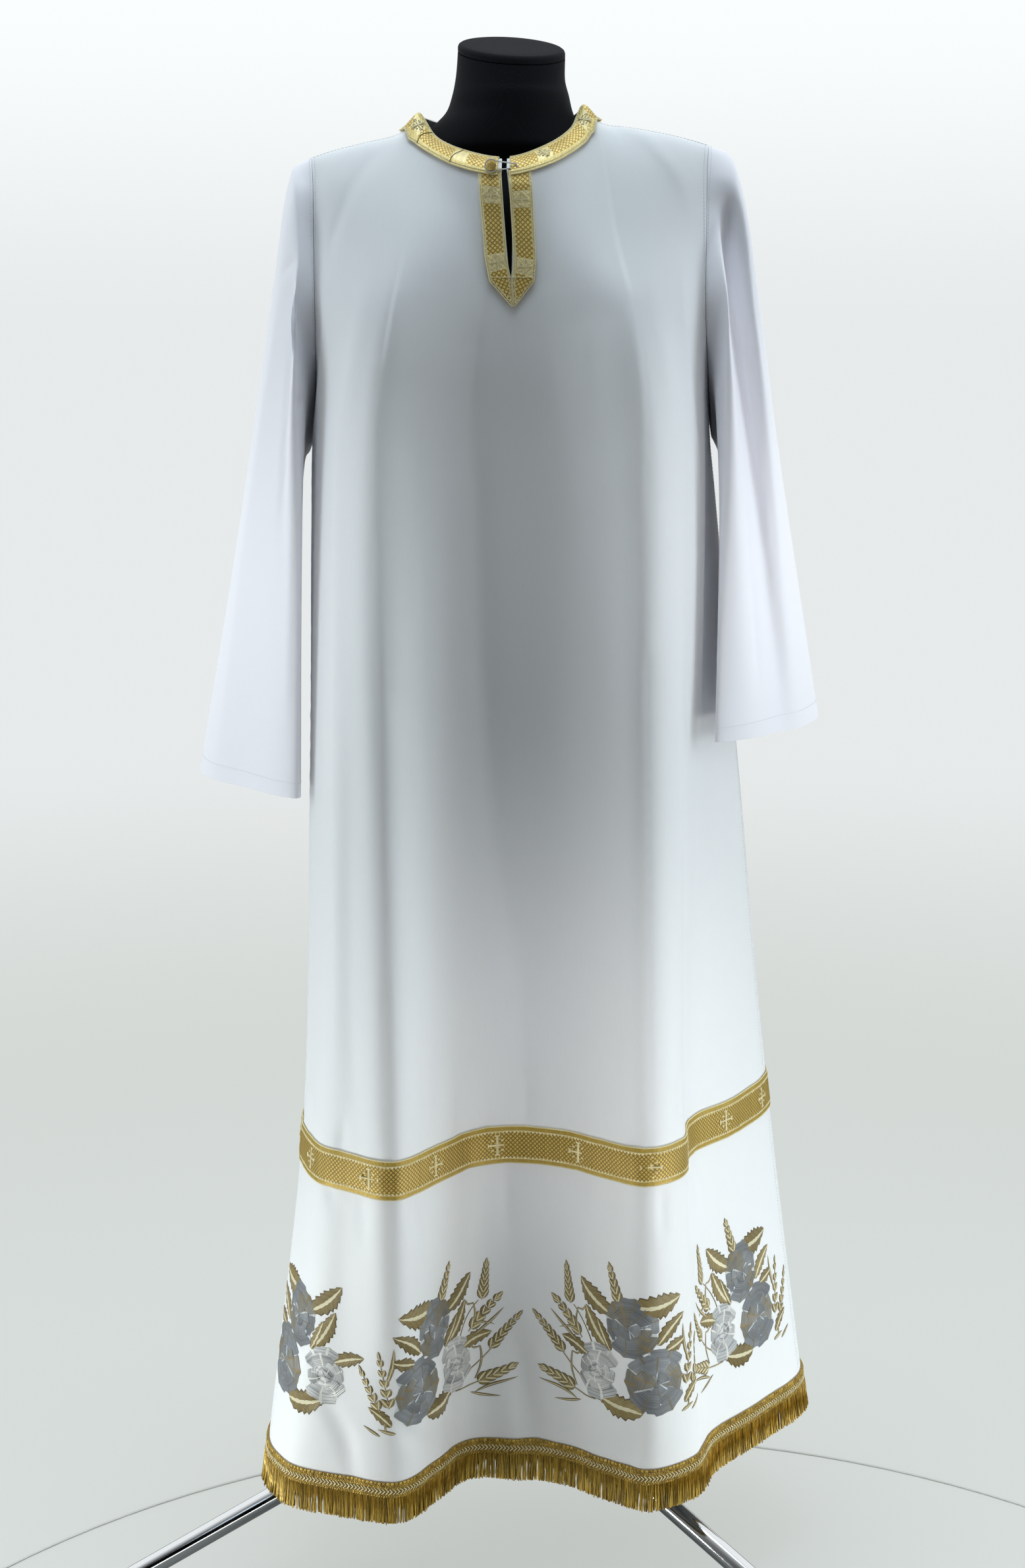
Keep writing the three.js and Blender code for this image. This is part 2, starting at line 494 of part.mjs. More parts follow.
// ---------------------------------------------------------------- dress form
// One row per level of the form: centre and half width, reach to the front and to the back. The topmost
// rings lean, because the neck's cut slopes down to the front.
const FORM = [
  { z: 862, x: 0, y: -6, half: 96, front: 72, back: 84 },
  { z: 870, x: 0, y: -6, half: 122, front: 88, back: 100 },
  { z: 900, x: 0, y: -6, half: 148, front: 100, back: 116 },
  { z: 960, x: 1, y: -6, half: 160, front: 106, back: 124 },
  { z: 1040, x: 2, y: -6, half: 146, front: 98, back: 108 },
  { z: 1130, x: 3, y: -6, half: 122, front: 90, back: 86 },
  { z: 1220, x: 4, y: -6, half: 138, front: 104, back: 90 },
  { z: 1310, x: 4, y: -6, half: 154, front: 114, back: 98 },
  { z: 1390, x: 4, y: -6, half: 166, front: 110, back: 102 },
  { z: 1450, x: 4, y: -8, half: 178, front: 92, back: 92 },
  { z: 1490, x: 4, y: -12, half: 186, front: 70, back: 82 },
  { z: 1518, x: 4, y: -16, half: 182, front: 50, back: 60 },
  { z: 1534, x: 4, y: -18, half: 164, front: 38, back: 44 },
  { z: 1545, x: 3, y: -18, half: 130, front: 40, back: 34 },
  { z: 1554, x: 1, y: -16, half: 102, front: 46, back: 30 },
  { z: 1564, x: -1, y: -12, half: 86, front: 50, back: 34 },
  { z: 1577, x: 0, y: -8, half: 74, front: 53, back: 44 },
  { z: 1590, x: 3, y: -6, half: 65, front: 54, back: 51 },
  { z: 1606, x: 4, y: -6, half: 60, front: 53, back: 53 },
  { z: 1624, x: 4, y: -6, half: 56, front: 51, back: 52, lean: 0.6 },
  { z: 1646, x: 5, y: -6, half: 55, front: 48, back: 52, lean: 1 },
];
const LEAN = { forward: 0.32, aside: -0.06 };
function ring(level, sides, scale = 1, lift = 0) {
  return steps(0, 1, sides).slice(0, -1).map((s) => {
    const angle = 2 * Math.PI * s;
    const x = level.half * scale * Math.cos(angle);
    const y = Math.sin(angle) * scale * (Math.sin(angle) < 0 ? level.front : level.back);
    const lean = level.lean ?? 0;
    return vec([level.x + x, level.y + y, level.z + lift + lean * (LEAN.forward * y + LEAN.aside * x)]);
  });
}
function loft(rings) {
  const sides = rings[0].length;
  const points = rings.flat();
  const index = [];
  for (const [a, b, c, d] of gridQuads(sides, rings.length, true)) index.push(a, b, c, a, c, d);
  const low = points.push(rings[0].reduce((s, p) => s.add(p), new THREE.Vector3()).divideScalar(sides)) - 1;
  const last = rings[rings.length - 1];
  const high = points.push(last.reduce((s, p) => s.add(p), new THREE.Vector3()).divideScalar(sides)) - 1;
  for (let j = 0; j < sides; j += 1) {
    const n = (j + 1) % sides;
    index.push(low, n, j, high, (rings.length - 1) * sides + j, (rings.length - 1) * sides + n);
  }
  return solid(points, index);
}
{
  const sides = 28;
  add('form_torso', loft(FORM.map((level) => ring(level, sides))), black);
  const neck = FORM[FORM.length - 1];
  const cap = [[0.96, 0.4], [1.03, 1.6], [1.03, 6.4], [0.95, 8.8]];
  add('form_neck_cap', loft(cap.map(([scale, lift]) => ring(neck, sides, scale, lift))), black);
}

// ---------------------------------------------------------------- tripod stand
const POLE = { radius: 12.5, bottom: 78, top: 861.6 };
const HUB = { radius: 27, bottom: 172, top: 226 };
const LEG = { radius: 11, rise: 0.40, reach: 440 };
const upright = (geometry) => geometry.rotateX(Math.PI / 2);
const turned = (profile, sides) => upright(new THREE.LatheGeometry(profile.map(([r, z]) => new THREE.Vector2(r, z)), sides));
{
  const { radius, bottom, top } = POLE;
  add('stand_pole', turned([[0, bottom], [radius, bottom], [radius, top], [0, top]], 24), chrome);
  add('pole_end_cap', turned([[0, 68], [10, 68], [13.4, 71], [13.4, 77.6], [0, 77.6]], 24), rubber);
  const bore = radius + 0.3;
  add('stand_hub', turned([[bore, HUB.bottom], [HUB.radius - 3, HUB.bottom], [HUB.radius, HUB.bottom + 3],
    [HUB.radius, HUB.top - 5], [HUB.radius - 5, HUB.top], [bore, HUB.top], [bore, HUB.bottom]], 24), black);
}
const LEG_ANGLES = { leg_right: 201, leg_left: 319, leg_back: 80 };
for (const [name, degrees] of Object.entries(LEG_ANGLES)) {
  const angle = THREE.MathUtils.degToRad(degrees);
  const outward = vec([Math.cos(angle), Math.sin(angle), 0]);
  const along = outward.clone().add(vec([0, 0, -LEG.rise])).normalize();
  const start = outward.clone().multiplyScalar(HUB.radius + 6).add(vec([0, 0, HUB.bottom + 22]));
  const length = (LEG.reach - HUB.radius - 6) * Math.hypot(1, LEG.rise);
  const place = (geometry, from) => {
    const turn = new THREE.Quaternion().setFromUnitVectors(vec([0, 0, 1]), along);
    return geometry.applyQuaternion(turn).translate(from.x, from.y, from.z);
  };
  const tube = turned([[0, 0], [LEG.radius, 0], [LEG.radius, length], [0, length]], 16);
  add(`stand_${name}`, place(tube, start), chrome);
  const end = start.clone().addScaledVector(along, length + 14);
  const sole = turned([[0, 0], [15, 0], [17, 3], [16, 22], [12, end.z + 2], [0, end.z + 2]], 16);
  add(`stand_foot_${name.slice(4)}`, sole.translate(end.x, end.y, 0), rubber);
}

export default part;
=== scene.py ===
import math

import bpy
import numpy as np
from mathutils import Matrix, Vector, noise


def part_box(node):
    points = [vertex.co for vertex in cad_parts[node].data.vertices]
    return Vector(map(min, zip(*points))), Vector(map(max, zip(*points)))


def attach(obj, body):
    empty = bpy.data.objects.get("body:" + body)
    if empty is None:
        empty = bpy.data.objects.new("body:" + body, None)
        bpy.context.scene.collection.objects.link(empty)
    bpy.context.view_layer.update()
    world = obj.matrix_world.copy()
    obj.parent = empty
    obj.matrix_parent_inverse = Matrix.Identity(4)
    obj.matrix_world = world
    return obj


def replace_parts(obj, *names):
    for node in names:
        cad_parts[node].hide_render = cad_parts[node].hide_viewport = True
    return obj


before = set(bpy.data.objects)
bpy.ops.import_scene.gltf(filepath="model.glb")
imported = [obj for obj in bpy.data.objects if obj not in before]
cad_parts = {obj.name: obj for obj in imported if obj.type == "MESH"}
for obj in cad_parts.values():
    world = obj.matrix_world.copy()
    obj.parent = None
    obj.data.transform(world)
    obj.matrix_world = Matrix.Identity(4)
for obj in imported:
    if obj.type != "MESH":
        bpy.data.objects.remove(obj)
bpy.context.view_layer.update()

# ---------------------------------------------------------------- camera
# Eye height in front of the stand and tilted a little down, so that the whole robe and the legs are in view.
low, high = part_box("stand_pole")
UPRIGHT = Vector(((low.x + high.x) / 2, (low.y + high.y) / 2, 0))   # x = 0 and y = 0 of every size below
CAMERA = {"x": 0.006, "y": -2.4, "z": 1.35, "down": 10.97, "lens": 51.43}

camera = bpy.data.objects.new("camera", bpy.data.cameras.new("camera"))
bpy.context.scene.collection.objects.link(camera)
camera.location = UPRIGHT + Vector((CAMERA["x"], CAMERA["y"], CAMERA["z"]))
camera.rotation_euler = (math.radians(90 - CAMERA["down"]), 0, 0)
camera.data.sensor_width = 36
camera.data.lens = CAMERA["lens"]
bpy.context.scene.camera = camera
bpy.context.scene.view_settings.view_transform = "Standard"


# ---------------------------------------------------------------- floor, walls and lamps
# A pale floor that runs out into pale walls, with a tall soft lamp at each side and low ones in front.
def feed(tree, node, feeds):
    """Gives each named socket of a node a plain value or the output that feeds it."""
    for socket, value in feeds.items():
        if isinstance(value, bpy.types.NodeSocket):
            tree.links.new(value, node.inputs[socket])
        else:
            node.inputs[socket].default_value = value


def add_node(tree, kind, feeds=None, **settings):
    """Adds a node, sets what it is and feeds it."""
    made = tree.nodes.new(kind)
    for key, value in settings.items():
        setattr(made, key, value)
    feed(tree, made, feeds or {})
    return made


def remap(tree, value, low, high, to_low=0.0, to_high=1.0, kind="SMOOTHSTEP"):
    """Carries a value from one range to another and returns the output."""
    ranges = {"From Min": low, "From Max": high, "To Min": to_low, "To Max": to_high}
    return add_node(tree, "ShaderNodeMapRange", {"Value": value, **ranges},
                    interpolation_type=kind).outputs["Result"]


def two_tone(tree, factor, first, second):
    """Mixes two colours, each a plain one or an output, and returns the output."""
    mix = add_node(tree, "ShaderNodeMix", {"Factor": factor}, data_type="RGBA")
    for socket, colour in (("A", first), ("B", second)):
        feed(tree, mix, {socket: colour if isinstance(colour, bpy.types.NodeSocket) else (*colour, 1)})
    return mix.outputs["Result"]


def new_finish(name, colour, rough, metal=0.0):
    """A material and its Principled shader, with plain numbers on the shader's own sockets."""
    made = bpy.data.materials.new(name)
    made.use_nodes = True
    skin = made.node_tree.nodes["Principled BSDF"]
    skin.inputs["Base Color"].default_value = (*colour, 1)
    skin.inputs["Roughness"].default_value = rough
    skin.inputs["Metallic"].default_value = metal
    return made, made.node_tree, skin


WALL = (0.80, 0.825, 0.825)
FLOOR = {"reach": 6.0, "sides": 96, "clear": 1.1, "blend": 2.6, "colour": (0.74, 0.75, 0.72), "glow": 0.71,
         "cove": (0.655, 0.69, 0.665), "cove_from": 1.4, "cove_to": 5.2}
ROOM_LIGHT = {"front": 0.0, "behind": 1.24}       # how much the walls light the robe, from each side
SEEN_LIGHT = {"floor": 1.0, "above": 1.2}         # how bright the camera sees them, low down and above
COOL, DAY = (0.74, 0.895, 0.985), (0.97, 1.0, 0.95)
PANELS = [  # name, place, what it points at, width, height, watts, colour
    ("lamp_right", (-1.9, -0.28, 1.0), (-0.1, 0, 0.9), 0.6, 1.9, 10.6, COOL),
    ("lamp_left", (1.9, -0.28, 1.0), (0.1, 0, 0.9), 0.6, 1.9, 12.2, COOL),
    ("lamp_top", (0, -0.3, 3.4), (0, -0.1, 1.2), 1.2, 1.2, 23, COOL),
    ("lamp_front", (0, -3.0, 2.9), (0, -0.1, 1.1), 2.0, 0.8, 4.5, COOL),
    ("lamp_low_right", (-0.95, -0.55, 0.03), (-0.1, -0.1, 0.6), 0.7, 0.25, 8.6, DAY),
    ("lamp_low_left", (0.95, -0.55, 0.03), (0.1, -0.1, 0.6), 0.7, 0.25, 7.6, DAY),
    ("lamp_low_front", (0.0, -1.0, 0.03), (0, -0.25, 0.4), 1.3, 0.25, 1.6, DAY),
]
SPOTS = [  # name, place, what it points at, angle of the cone, watts
    ("spot_sleeve_left", (1.3, -2.0, 1.2), (0.31, -0.05, 1.16), 14, 62),
    ("spot_sleeve_right", (-1.3, -2.0, 1.2), (-0.29, -0.03, 1.14), 14, 42),
    ("spot_skirt", (0.2, -2.3, 0.9), (0.1, -0.2, 0.64), 16, 48),
]

floor_mesh = bpy.data.meshes.new("floor")
around = [2 * math.pi * k / FLOOR["sides"] for k in range(FLOOR["sides"])]
floor_mesh.from_pydata([(FLOOR["reach"] * math.cos(a), FLOOR["reach"] * math.sin(a), 0) for a in around], [],
                       [list(range(FLOOR["sides"]))])
floor = bpy.data.objects.new("floor", floor_mesh)
bpy.context.scene.collection.objects.link(floor)
floor_finish, tree, skin = new_finish("pale_floor", FLOOR["colour"], 0.6)
place = add_node(tree, "ShaderNodeTexCoord").outputs["Object"]
distance = add_node(tree, "ShaderNodeVectorMath", {0: place}, operation="LENGTH").outputs["Value"]
far = remap(tree, distance, FLOOR["clear"], FLOOR["blend"], FLOOR["glow"])
to_camera = add_node(tree, "ShaderNodeLightPath").outputs["Is Camera Ray"]
cove = remap(tree, distance, FLOOR["cove_from"], FLOOR["cove_to"])
wall_light = add_node(tree, "ShaderNodeEmission", {"Color": two_tone(tree, cove, FLOOR["cove"], WALL),
                                                   "Strength": to_camera})
mixed = add_node(tree, "ShaderNodeMixShader", {0: far, 1: skin.outputs["BSDF"],
                                               2: wall_light.outputs["Emission"]})
tree.links.new(mixed.outputs["Shader"], tree.nodes["Material Output"].inputs["Surface"])
floor_mesh.materials.append(floor_finish)

PLATFORM = {"x": 0.096, "y": -0.637, "radius": 0.863, "rim": 0.996, "high": 0.0015, "sides": 128}
sides = PLATFORM["sides"]
turns = [2 * math.pi * k / sides for k in range(sides)]
ring = [(PLATFORM["radius"] * math.cos(a), PLATFORM["radius"] * math.sin(a)) for a in turns]
section = [(1.0, 0.0), (1.0, PLATFORM["high"]), (PLATFORM["rim"], PLATFORM["high"]), (PLATFORM["rim"], 0.0)]
platform_mesh = bpy.data.meshes.new("platform_edge")
platform_mesh.from_pydata(
    [(x * scale, y * scale, z) for scale, z in section for x, y in ring], [],
    [[row * sides + k, row * sides + (k + 1) % sides, (row + 1) * sides + (k + 1) % sides,
      (row + 1) * sides + k]
     for row in range(3) for k in range(sides)])
platform = bpy.data.objects.new("platform_edge", platform_mesh)
platform.location = UPRIGHT + Vector((PLATFORM["x"], PLATFORM["y"], 0))
bpy.context.scene.collection.objects.link(platform)
platform_mesh.materials.append(new_finish("platform_edge", (0.60, 0.61, 0.58), 0.6)[0])

room = bpy.data.worlds.new("room")
bpy.context.scene.world = room
room.use_nodes = True
tree = room.node_tree
seen = add_node(tree, "ShaderNodeLightPath").outputs["Is Camera Ray"]
way = add_node(tree, "ShaderNodeTexCoord").outputs["Generated"]
split = add_node(tree, "ShaderNodeSeparateXYZ", {0: way}).outputs
lit = remap(tree, split["Y"], -0.9, 0.25, ROOM_LIGHT["front"], ROOM_LIGHT["behind"])
glow = remap(tree, split["Z"], 0.0, 0.15, SEEN_LIGHT["floor"], SEEN_LIGHT["above"])
feed(tree, tree.nodes["Background"], {"Color": (*WALL, 1), "Strength": remap(tree, seen, 0.0, 1.0, lit, glow,
                                                                             "LINEAR")})


def lamp_at(name, kind, place_at, points_at, watts):
    """A lamp at a place, aimed at a point, both from the foot of the stand."""
    lamp = bpy.data.objects.new(name, bpy.data.lights.new(name, kind))
    lamp.data.energy = watts
    lamp.location = UPRIGHT + Vector(place_at)
    lamp.rotation_euler = (Vector(points_at) - Vector(place_at)).to_track_quat("-Z", "Y").to_euler()
    bpy.context.scene.collection.objects.link(lamp)
    return lamp.data


for name, place_at, points_at, width, height, watts, colour in PANELS:
    light = lamp_at(name, "AREA", place_at, points_at, watts)
    light.shape = "RECTANGLE"
    light.size = width
    light.size_y = height
    light.color = colour
for name, place_at, points_at, cone, watts in SPOTS:
    light = lamp_at(name, "SPOT", place_at, points_at, watts)
    light.spot_size = math.radians(cone)
    light.spot_blend = 1.0
    light.shadow_soft_size = 0.15

# ---------------------------------------------------------------- stand
# A chrome tripod: upright and three bent-down legs of polished steel tube, a moulded black hub with a clamp
# screw, and pressed-on rubber feet and end cap.
MM = 0.001
UP = Vector((0, 0, 1))


def group_tree(name, inputs, outputs):
    """A shader node group that takes a vector and named numbers and puts out named values. Returns the group,
    its input sockets and its output node."""
    made = bpy.data.node_groups.new(name, "ShaderNodeTree")
    made.interface.new_socket("Vector", in_out="INPUT", socket_type="NodeSocketVector")
    for label, value in inputs.items():
        made.interface.new_socket(label, in_out="INPUT", socket_type="NodeSocketFloat").default_value = value
    for label in outputs:
        made.interface.new_socket(label, in_out="OUTPUT", socket_type="NodeSocketFloat")
    return made, made.nodes.new("NodeGroupInput").outputs, made.nodes.new("NodeGroupOutput")


def bump(tree, skin, height, strength, distance):
    """Raises a surface by a height output, distance in metres."""
    raised = add_node(tree, "ShaderNodeBump", {"Height": height, "Strength": strength, "Distance": distance})
    feed(tree, skin, {"Normal": raised.outputs["Normal"]})


def handling_group():
    """Uneven handling: cloudy patches and fine rubs, as a roughness value and a faint height."""
    made, given, result = group_tree("handling", {"Size": 20.0, "Low": 0.1, "High": 0.3},
                                     ("Roughness", "Height"))
    cloud = add_node(made, "ShaderNodeTexNoise", {"Vector": given["Vector"], "Scale": given["Size"],
                                                  "Detail": 5.0}).outputs["Fac"]
    grain = add_node(made, "ShaderNodeTexNoise", {"Vector": given["Vector"], "Scale": 900.0}).outputs["Fac"]
    feed(made, result, {"Roughness": remap(made, cloud, 0.35, 0.68, given["Low"], given["High"], "LINEAR"),
                        "Height": grain})
    return made


HANDLING = handling_group()


def grouped(tree, group, coordinates, values):
    """Adds a node group that reads the object's coordinates or its UV map. Returns its outputs."""
    made = add_node(tree, "ShaderNodeGroup", node_tree=group)
    feed(tree, made, {"Vector": add_node(tree, "ShaderNodeTexCoord").outputs[coordinates], **values})
    return made.outputs


def hard_finish(name, colour, metal, low_rough, high_rough, patch, relief):
    """A hard surface whose gloss and fine grain change a little over it."""
    made, tree, skin = new_finish(name, colour, low_rough, metal)
    wear = grouped(tree, HANDLING, "Object", {"Size": patch, "Low": low_rough, "High": high_rough})
    feed(tree, skin, {"Roughness": wear["Roughness"]})
    bump(tree, skin, wear["Height"], relief, 0.0003)
    return made


CHROME = hard_finish("chrome", (0.80, 0.81, 0.83), 1.0, 0.05, 0.16, 26.0, 0.05)
PLASTIC = hard_finish("black_plastic", (0.008, 0.008, 0.009), 0.0, 0.55, 0.7, 40.0, 0.35)
RUBBER = hard_finish("black_rubber", (0.018, 0.018, 0.018), 0.0, 0.7, 0.85, 55.0, 0.6)


def piece(name, points, faces, finish, uv=None, sharp=35):
    """A mesh object in row coordinates, shaded smooth but for its sharp edges, riding on the whole."""
    mesh = bpy.data.meshes.new(name)
    mesh.from_pydata([tuple(p) for p in points], [], faces)
    if uv is not None:
        layer = mesh.uv_layers.new(name="cloth")
        loops = np.zeros(len(mesh.loops), np.int32)
        mesh.loops.foreach_get("vertex_index", loops)
        layer.data.foreach_set("uv", np.asarray(uv, np.float32)[loops].ravel())
    mesh.shade_smooth()
    mesh.set_sharp_from_angle(angle=math.radians(sharp))
    for one in finish if isinstance(finish, (list, tuple)) else [finish]:
        mesh.materials.append(one)
    made = bpy.data.objects.new(name, mesh)
    bpy.context.scene.collection.objects.link(made)
    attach(made, "root")
    return made


def turned(profile, sides=48):
    """Points and faces of a solid turned on a lathe: profile is (radius, height) in mm, pole to pole."""
    points = []
    rings = []
    for radius, height in profile:
        if radius == 0:
            rings.append([len(points)])
            points.append(Vector((0, 0, height * MM)))
            continue
        rings.append(list(range(len(points), len(points) + sides)))
        for k in range(sides):
            angle = 2 * math.pi * k / sides
            points.append(Vector((radius * math.cos(angle), radius * math.sin(angle), height)) * MM)
    faces = []
    for lower, upper in zip(rings, rings[1:]):
        for k in range(sides):
            n = (k + 1) % sides
            a, b = lower[k % len(lower)], lower[n % len(lower)]
            c, d = upper[n % len(upper)], upper[k % len(upper)]
            if len(lower) == len(upper):
                faces.append([a, b, c, d])
            else:
                faces.append([a, b, c] if len(lower) > 1 else [a, c, d])
    return points, faces


def round_over(radius, low, high, edge):
    """A lathe profile of a plain cylinder with its two rims rounded over by edge."""
    turn = [math.pi / 2 * k / 4 for k in range(5)]
    foot = [(radius - edge + edge * math.sin(a), low + edge - edge * math.cos(a)) for a in turn]
    head = [(radius - edge + edge * math.cos(a), high - edge + edge * math.sin(a)) for a in turn]
    return [(0, low), *foot, *head, (0, high)]


def stood(made, start, along=UP):
    """Turns a lathed piece from +Z to the direction along and moves its foot to start."""
    turn = UP.rotation_difference(along)
    return [start + turn @ p for p in made[0]], made[1]


def level_way(degrees):
    """The level direction at an angle counted from +X toward +Y."""
    return Vector((math.cos(math.radians(degrees)), math.sin(math.radians(degrees)), 0))


POLE = {"radius": 12.5, "bottom": 78, "top": 861.6}
HUB = {"radius": 27, "bottom": 172, "top": 226, "screw": 200, "screw_side": 255}
LEG = {"radius": 11, "rise": 0.40, "reach": 440}
LEG_ANGLES = {"leg_right": 201, "leg_left": 319, "leg_back": 80}

points, faces = stood(turned(round_over(POLE["radius"], POLE["bottom"], POLE["top"], 0.6), 64), UPRIGHT)
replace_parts(piece("upright_tube", points, faces, CHROME), "stand_pole")
points, faces = stood(turned([(0, 68), (8.6, 68), (10.2, 68.6), (12.8, 70.6), (13.4, 72.4), (13.4, 76.6),
                              (12.9, 77.6), (0, 77.6)]), UPRIGHT)
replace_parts(piece("upright_end_cap", points, faces, RUBBER), "pole_end_cap")

hub_profile = [(0, HUB["bottom"]), (22.5, HUB["bottom"]), (24.6, HUB["bottom"] + 0.8),
               (26.4, HUB["bottom"] + 2.6),
               (27, HUB["bottom"] + 5), (27, 188), (26.2, 189), (26.2, 191), (27, 192), (27, 208),
               (26.2, 209),
               (26.2, 211), (27, 212), (27, 218), (26.2, 221.4), (24, 224), (20.6, 225.6), (16.4, HUB["top"]),
               (0, HUB["top"])]
points, faces = stood(turned(hub_profile, 72), UPRIGHT)
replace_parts(piece("tripod_hub", points, faces, PLASTIC), "stand_hub")
points, faces = stood(turned([(0, 26), (4, 26), (4, 34), (9, 34.6), (10.6, 36), (10.9, 38), (10.9, 45),
                              (10.2, 47), (8.6, 48), (0, 48)], 24),
                      UPRIGHT + Vector((0, 0, HUB["screw"] * MM)), level_way(HUB["screw_side"]))
piece("clamp_screw", points, faces, PLASTIC)

for name, degrees in LEG_ANGLES.items():
    outward = level_way(degrees)
    along = (outward + Vector((0, 0, -LEG["rise"]))).normalized()
    start = UPRIGHT + (outward * (HUB["radius"] + 6) + Vector((0, 0, HUB["bottom"] + 22))) * MM
    length = (LEG["reach"] - HUB["radius"] - 6) * math.hypot(1, LEG["rise"])
    points, faces = stood(turned(round_over(LEG["radius"], 0, length, 0.8), 48), start, along)
    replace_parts(piece(f"{name}_tube", points, faces, CHROME), f"stand_{name}")
    points, faces = stood(turned(round_over(LEG["radius"] + 2.4, -9, 24, 1.6), 48), start, along)
    piece(f"{name}_socket", points, faces, PLASTIC)
    end = start + along * (length + 14) * MM
    top = end.z / MM + 2
    sole = [(0, 0), (14.2, 0), (15.8, 1), (17, 3), (17, 6), (16.3, 7.4), (16.6, 9), (16, top * 0.75),
            (14.2, top - 3), (12.6, top - 0.6), (11.4, top), (0, top)]
    points, faces = stood(turned(sole), Vector((end.x, end.y, 0)))
    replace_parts(piece(f"{name}_foot", points, faces, RUBBER), f"stand_foot_{name[4:]}")


# ---------------------------------------------------------------- dress form
# A hard limbless torso pulled over with black jersey, its neck cut off at a slant and closed with a flat cap
# under the same jersey. One row per level: its height, middle, half width and reach to front and back, in mm,
# and how much it leans with the neck's slant.
FORM_FIELDS = ("z", "x", "y", "half", "front", "back", "lean")
FORM = [dict(zip(FORM_FIELDS, level)) for level in [
    (862, 0, -6, 96, 72, 84, 0), (870, 0, -6, 122, 88, 100, 0), (900, 0, -6, 148, 100, 116, 0),
    (960, 1, -6, 160, 106, 124, 0), (1040, 2, -6, 146, 98, 108, 0), (1130, 3, -6, 122, 90, 86, 0),
    (1220, 4, -6, 138, 104, 90, 0), (1310, 4, -6, 154, 114, 98, 0), (1390, 4, -6, 166, 110, 102, 0),
    (1450, 4, -8, 178, 92, 92, 0), (1490, 4, -12, 186, 70, 82, 0), (1518, 4, -16, 182, 50, 60, 0),
    (1534, 4, -18, 164, 38, 44, 0), (1545, 3, -18, 130, 40, 34, 0), (1554, 1, -16, 102, 46, 30, 0),
    (1564, -1, -12, 86, 50, 34, 0), (1577, 0, -8, 74, 53, 44, 0), (1590, 3, -6, 65, 54, 51, 0),
    (1606, 4, -6, 60, 53, 53, 0), (1624, 4, -6, 56, 51, 52, 0.6), (1646, 5, -6, 55, 48, 52, 1),
]]
LEAN = {"forward": 0.32, "aside": -0.06}
RIM = [(0.96, 0.4), (0.985, 0.7), (1.0, 1.6), (1.0, 5.2), (0.985, 7.2), (0.955, 8.4), (0.92, 8.8), (0.6, 8.9)]


def maths(tree, operation, *values):
    """One step of arithmetic on outputs and plain numbers. Returns the output."""
    return add_node(tree, "ShaderNodeMath", dict(enumerate(values)), operation=operation).outputs[0]


def woven_group():
    """Threads crossing over and under: height and a light-and-dark tone, from coordinates in metres."""
    made, given, result = group_tree("woven", {"Threads per metre": 1200.0, "Slub": 0.5}, ("Height", "Tone"))
    scaled = add_node(made, "ShaderNodeVectorMath", {0: given["Vector"], "Scale": given["Threads per metre"]},
                      operation="SCALE")
    split = add_node(made, "ShaderNodeSeparateXYZ", {0: scaled.outputs["Vector"]}).outputs
    waves = [maths(made, "ABSOLUTE", maths(made, "SINE", maths(made, "MULTIPLY", split[axis], math.pi)))
             for axis in ("X", "Y")]
    slub_at = add_node(made, "ShaderNodeVectorMath", {0: given["Vector"], 1: (700.0, 60.0, 700.0)},
                       operation="MULTIPLY")
    slub = add_node(made, "ShaderNodeTexNoise", {"Vector": slub_at.outputs["Vector"], "Scale": 1.0,
                                                 "Detail": 3.0}).outputs["Fac"]
    uneven = maths(made, "MULTIPLY", slub, given["Slub"])
    feed(made, result, {"Height": maths(made, "ADD", maths(made, "ADD", *waves), uneven), "Tone": slub})
    return made


WOVEN = woven_group()


def cloth_finish(name, colour, shade, rough, threads, relief, sheen, coordinates="UV"):
    """A woven or knitted cloth: two close tones of its colour, thread relief and a soft sheen."""
    made, tree, skin = new_finish(name, colour, rough)
    weave = grouped(tree, WOVEN, coordinates, {"Threads per metre": threads, "Slub": 0.6})
    feed(tree, skin, {"Base Color": two_tone(tree, weave["Tone"], shade, colour), "Sheen Weight": sheen,
                      "Sheen Roughness": 0.4})
    bump(tree, skin, weave["Height"], relief, 0.0002)
    return made


JERSEY = cloth_finish("black_jersey", (0.0060, 0.0062, 0.0085), (0.0035, 0.0035, 0.0055), 0.85, 900.0, 0.5,
                      0.02, "Object")
JERSEY.node_tree.nodes["Principled BSDF"].inputs["Specular IOR Level"].default_value = 0.15


def smooth_between(low, high, x):
    """0 below low, 1 above high and a soft step between them."""
    t = np.clip((x - low) / (high - low), 0, 1)
    return t * t * (3 - 2 * t)


def form_ring(level, sides, scale=1.0, lift=0.0):
    """One ring of the form, in mm."""
    angle = np.arange(sides) * 2 * math.pi / sides
    x = level["half"] * scale * np.cos(angle)
    y = np.sin(angle) * scale * np.where(np.sin(angle) < 0, level["front"], level["back"])
    z = level["z"] + lift + level["lean"] * (LEAN["forward"] * y + LEAN["aside"] * x)
    return np.stack([level["x"] + x, level["y"] + y, z], 1)


def curve_between(p0, p1, p2, p3, s):
    """Catmull-Rom between p1 and p2."""
    return 0.5 * (2 * p1 + (p2 - p0) * s + (2 * p0 - 5 * p1 + 4 * p2 - p3) * s ** 2
                  + (p3 - p0 + 3 * p1 - 3 * p2) * s ** 3)


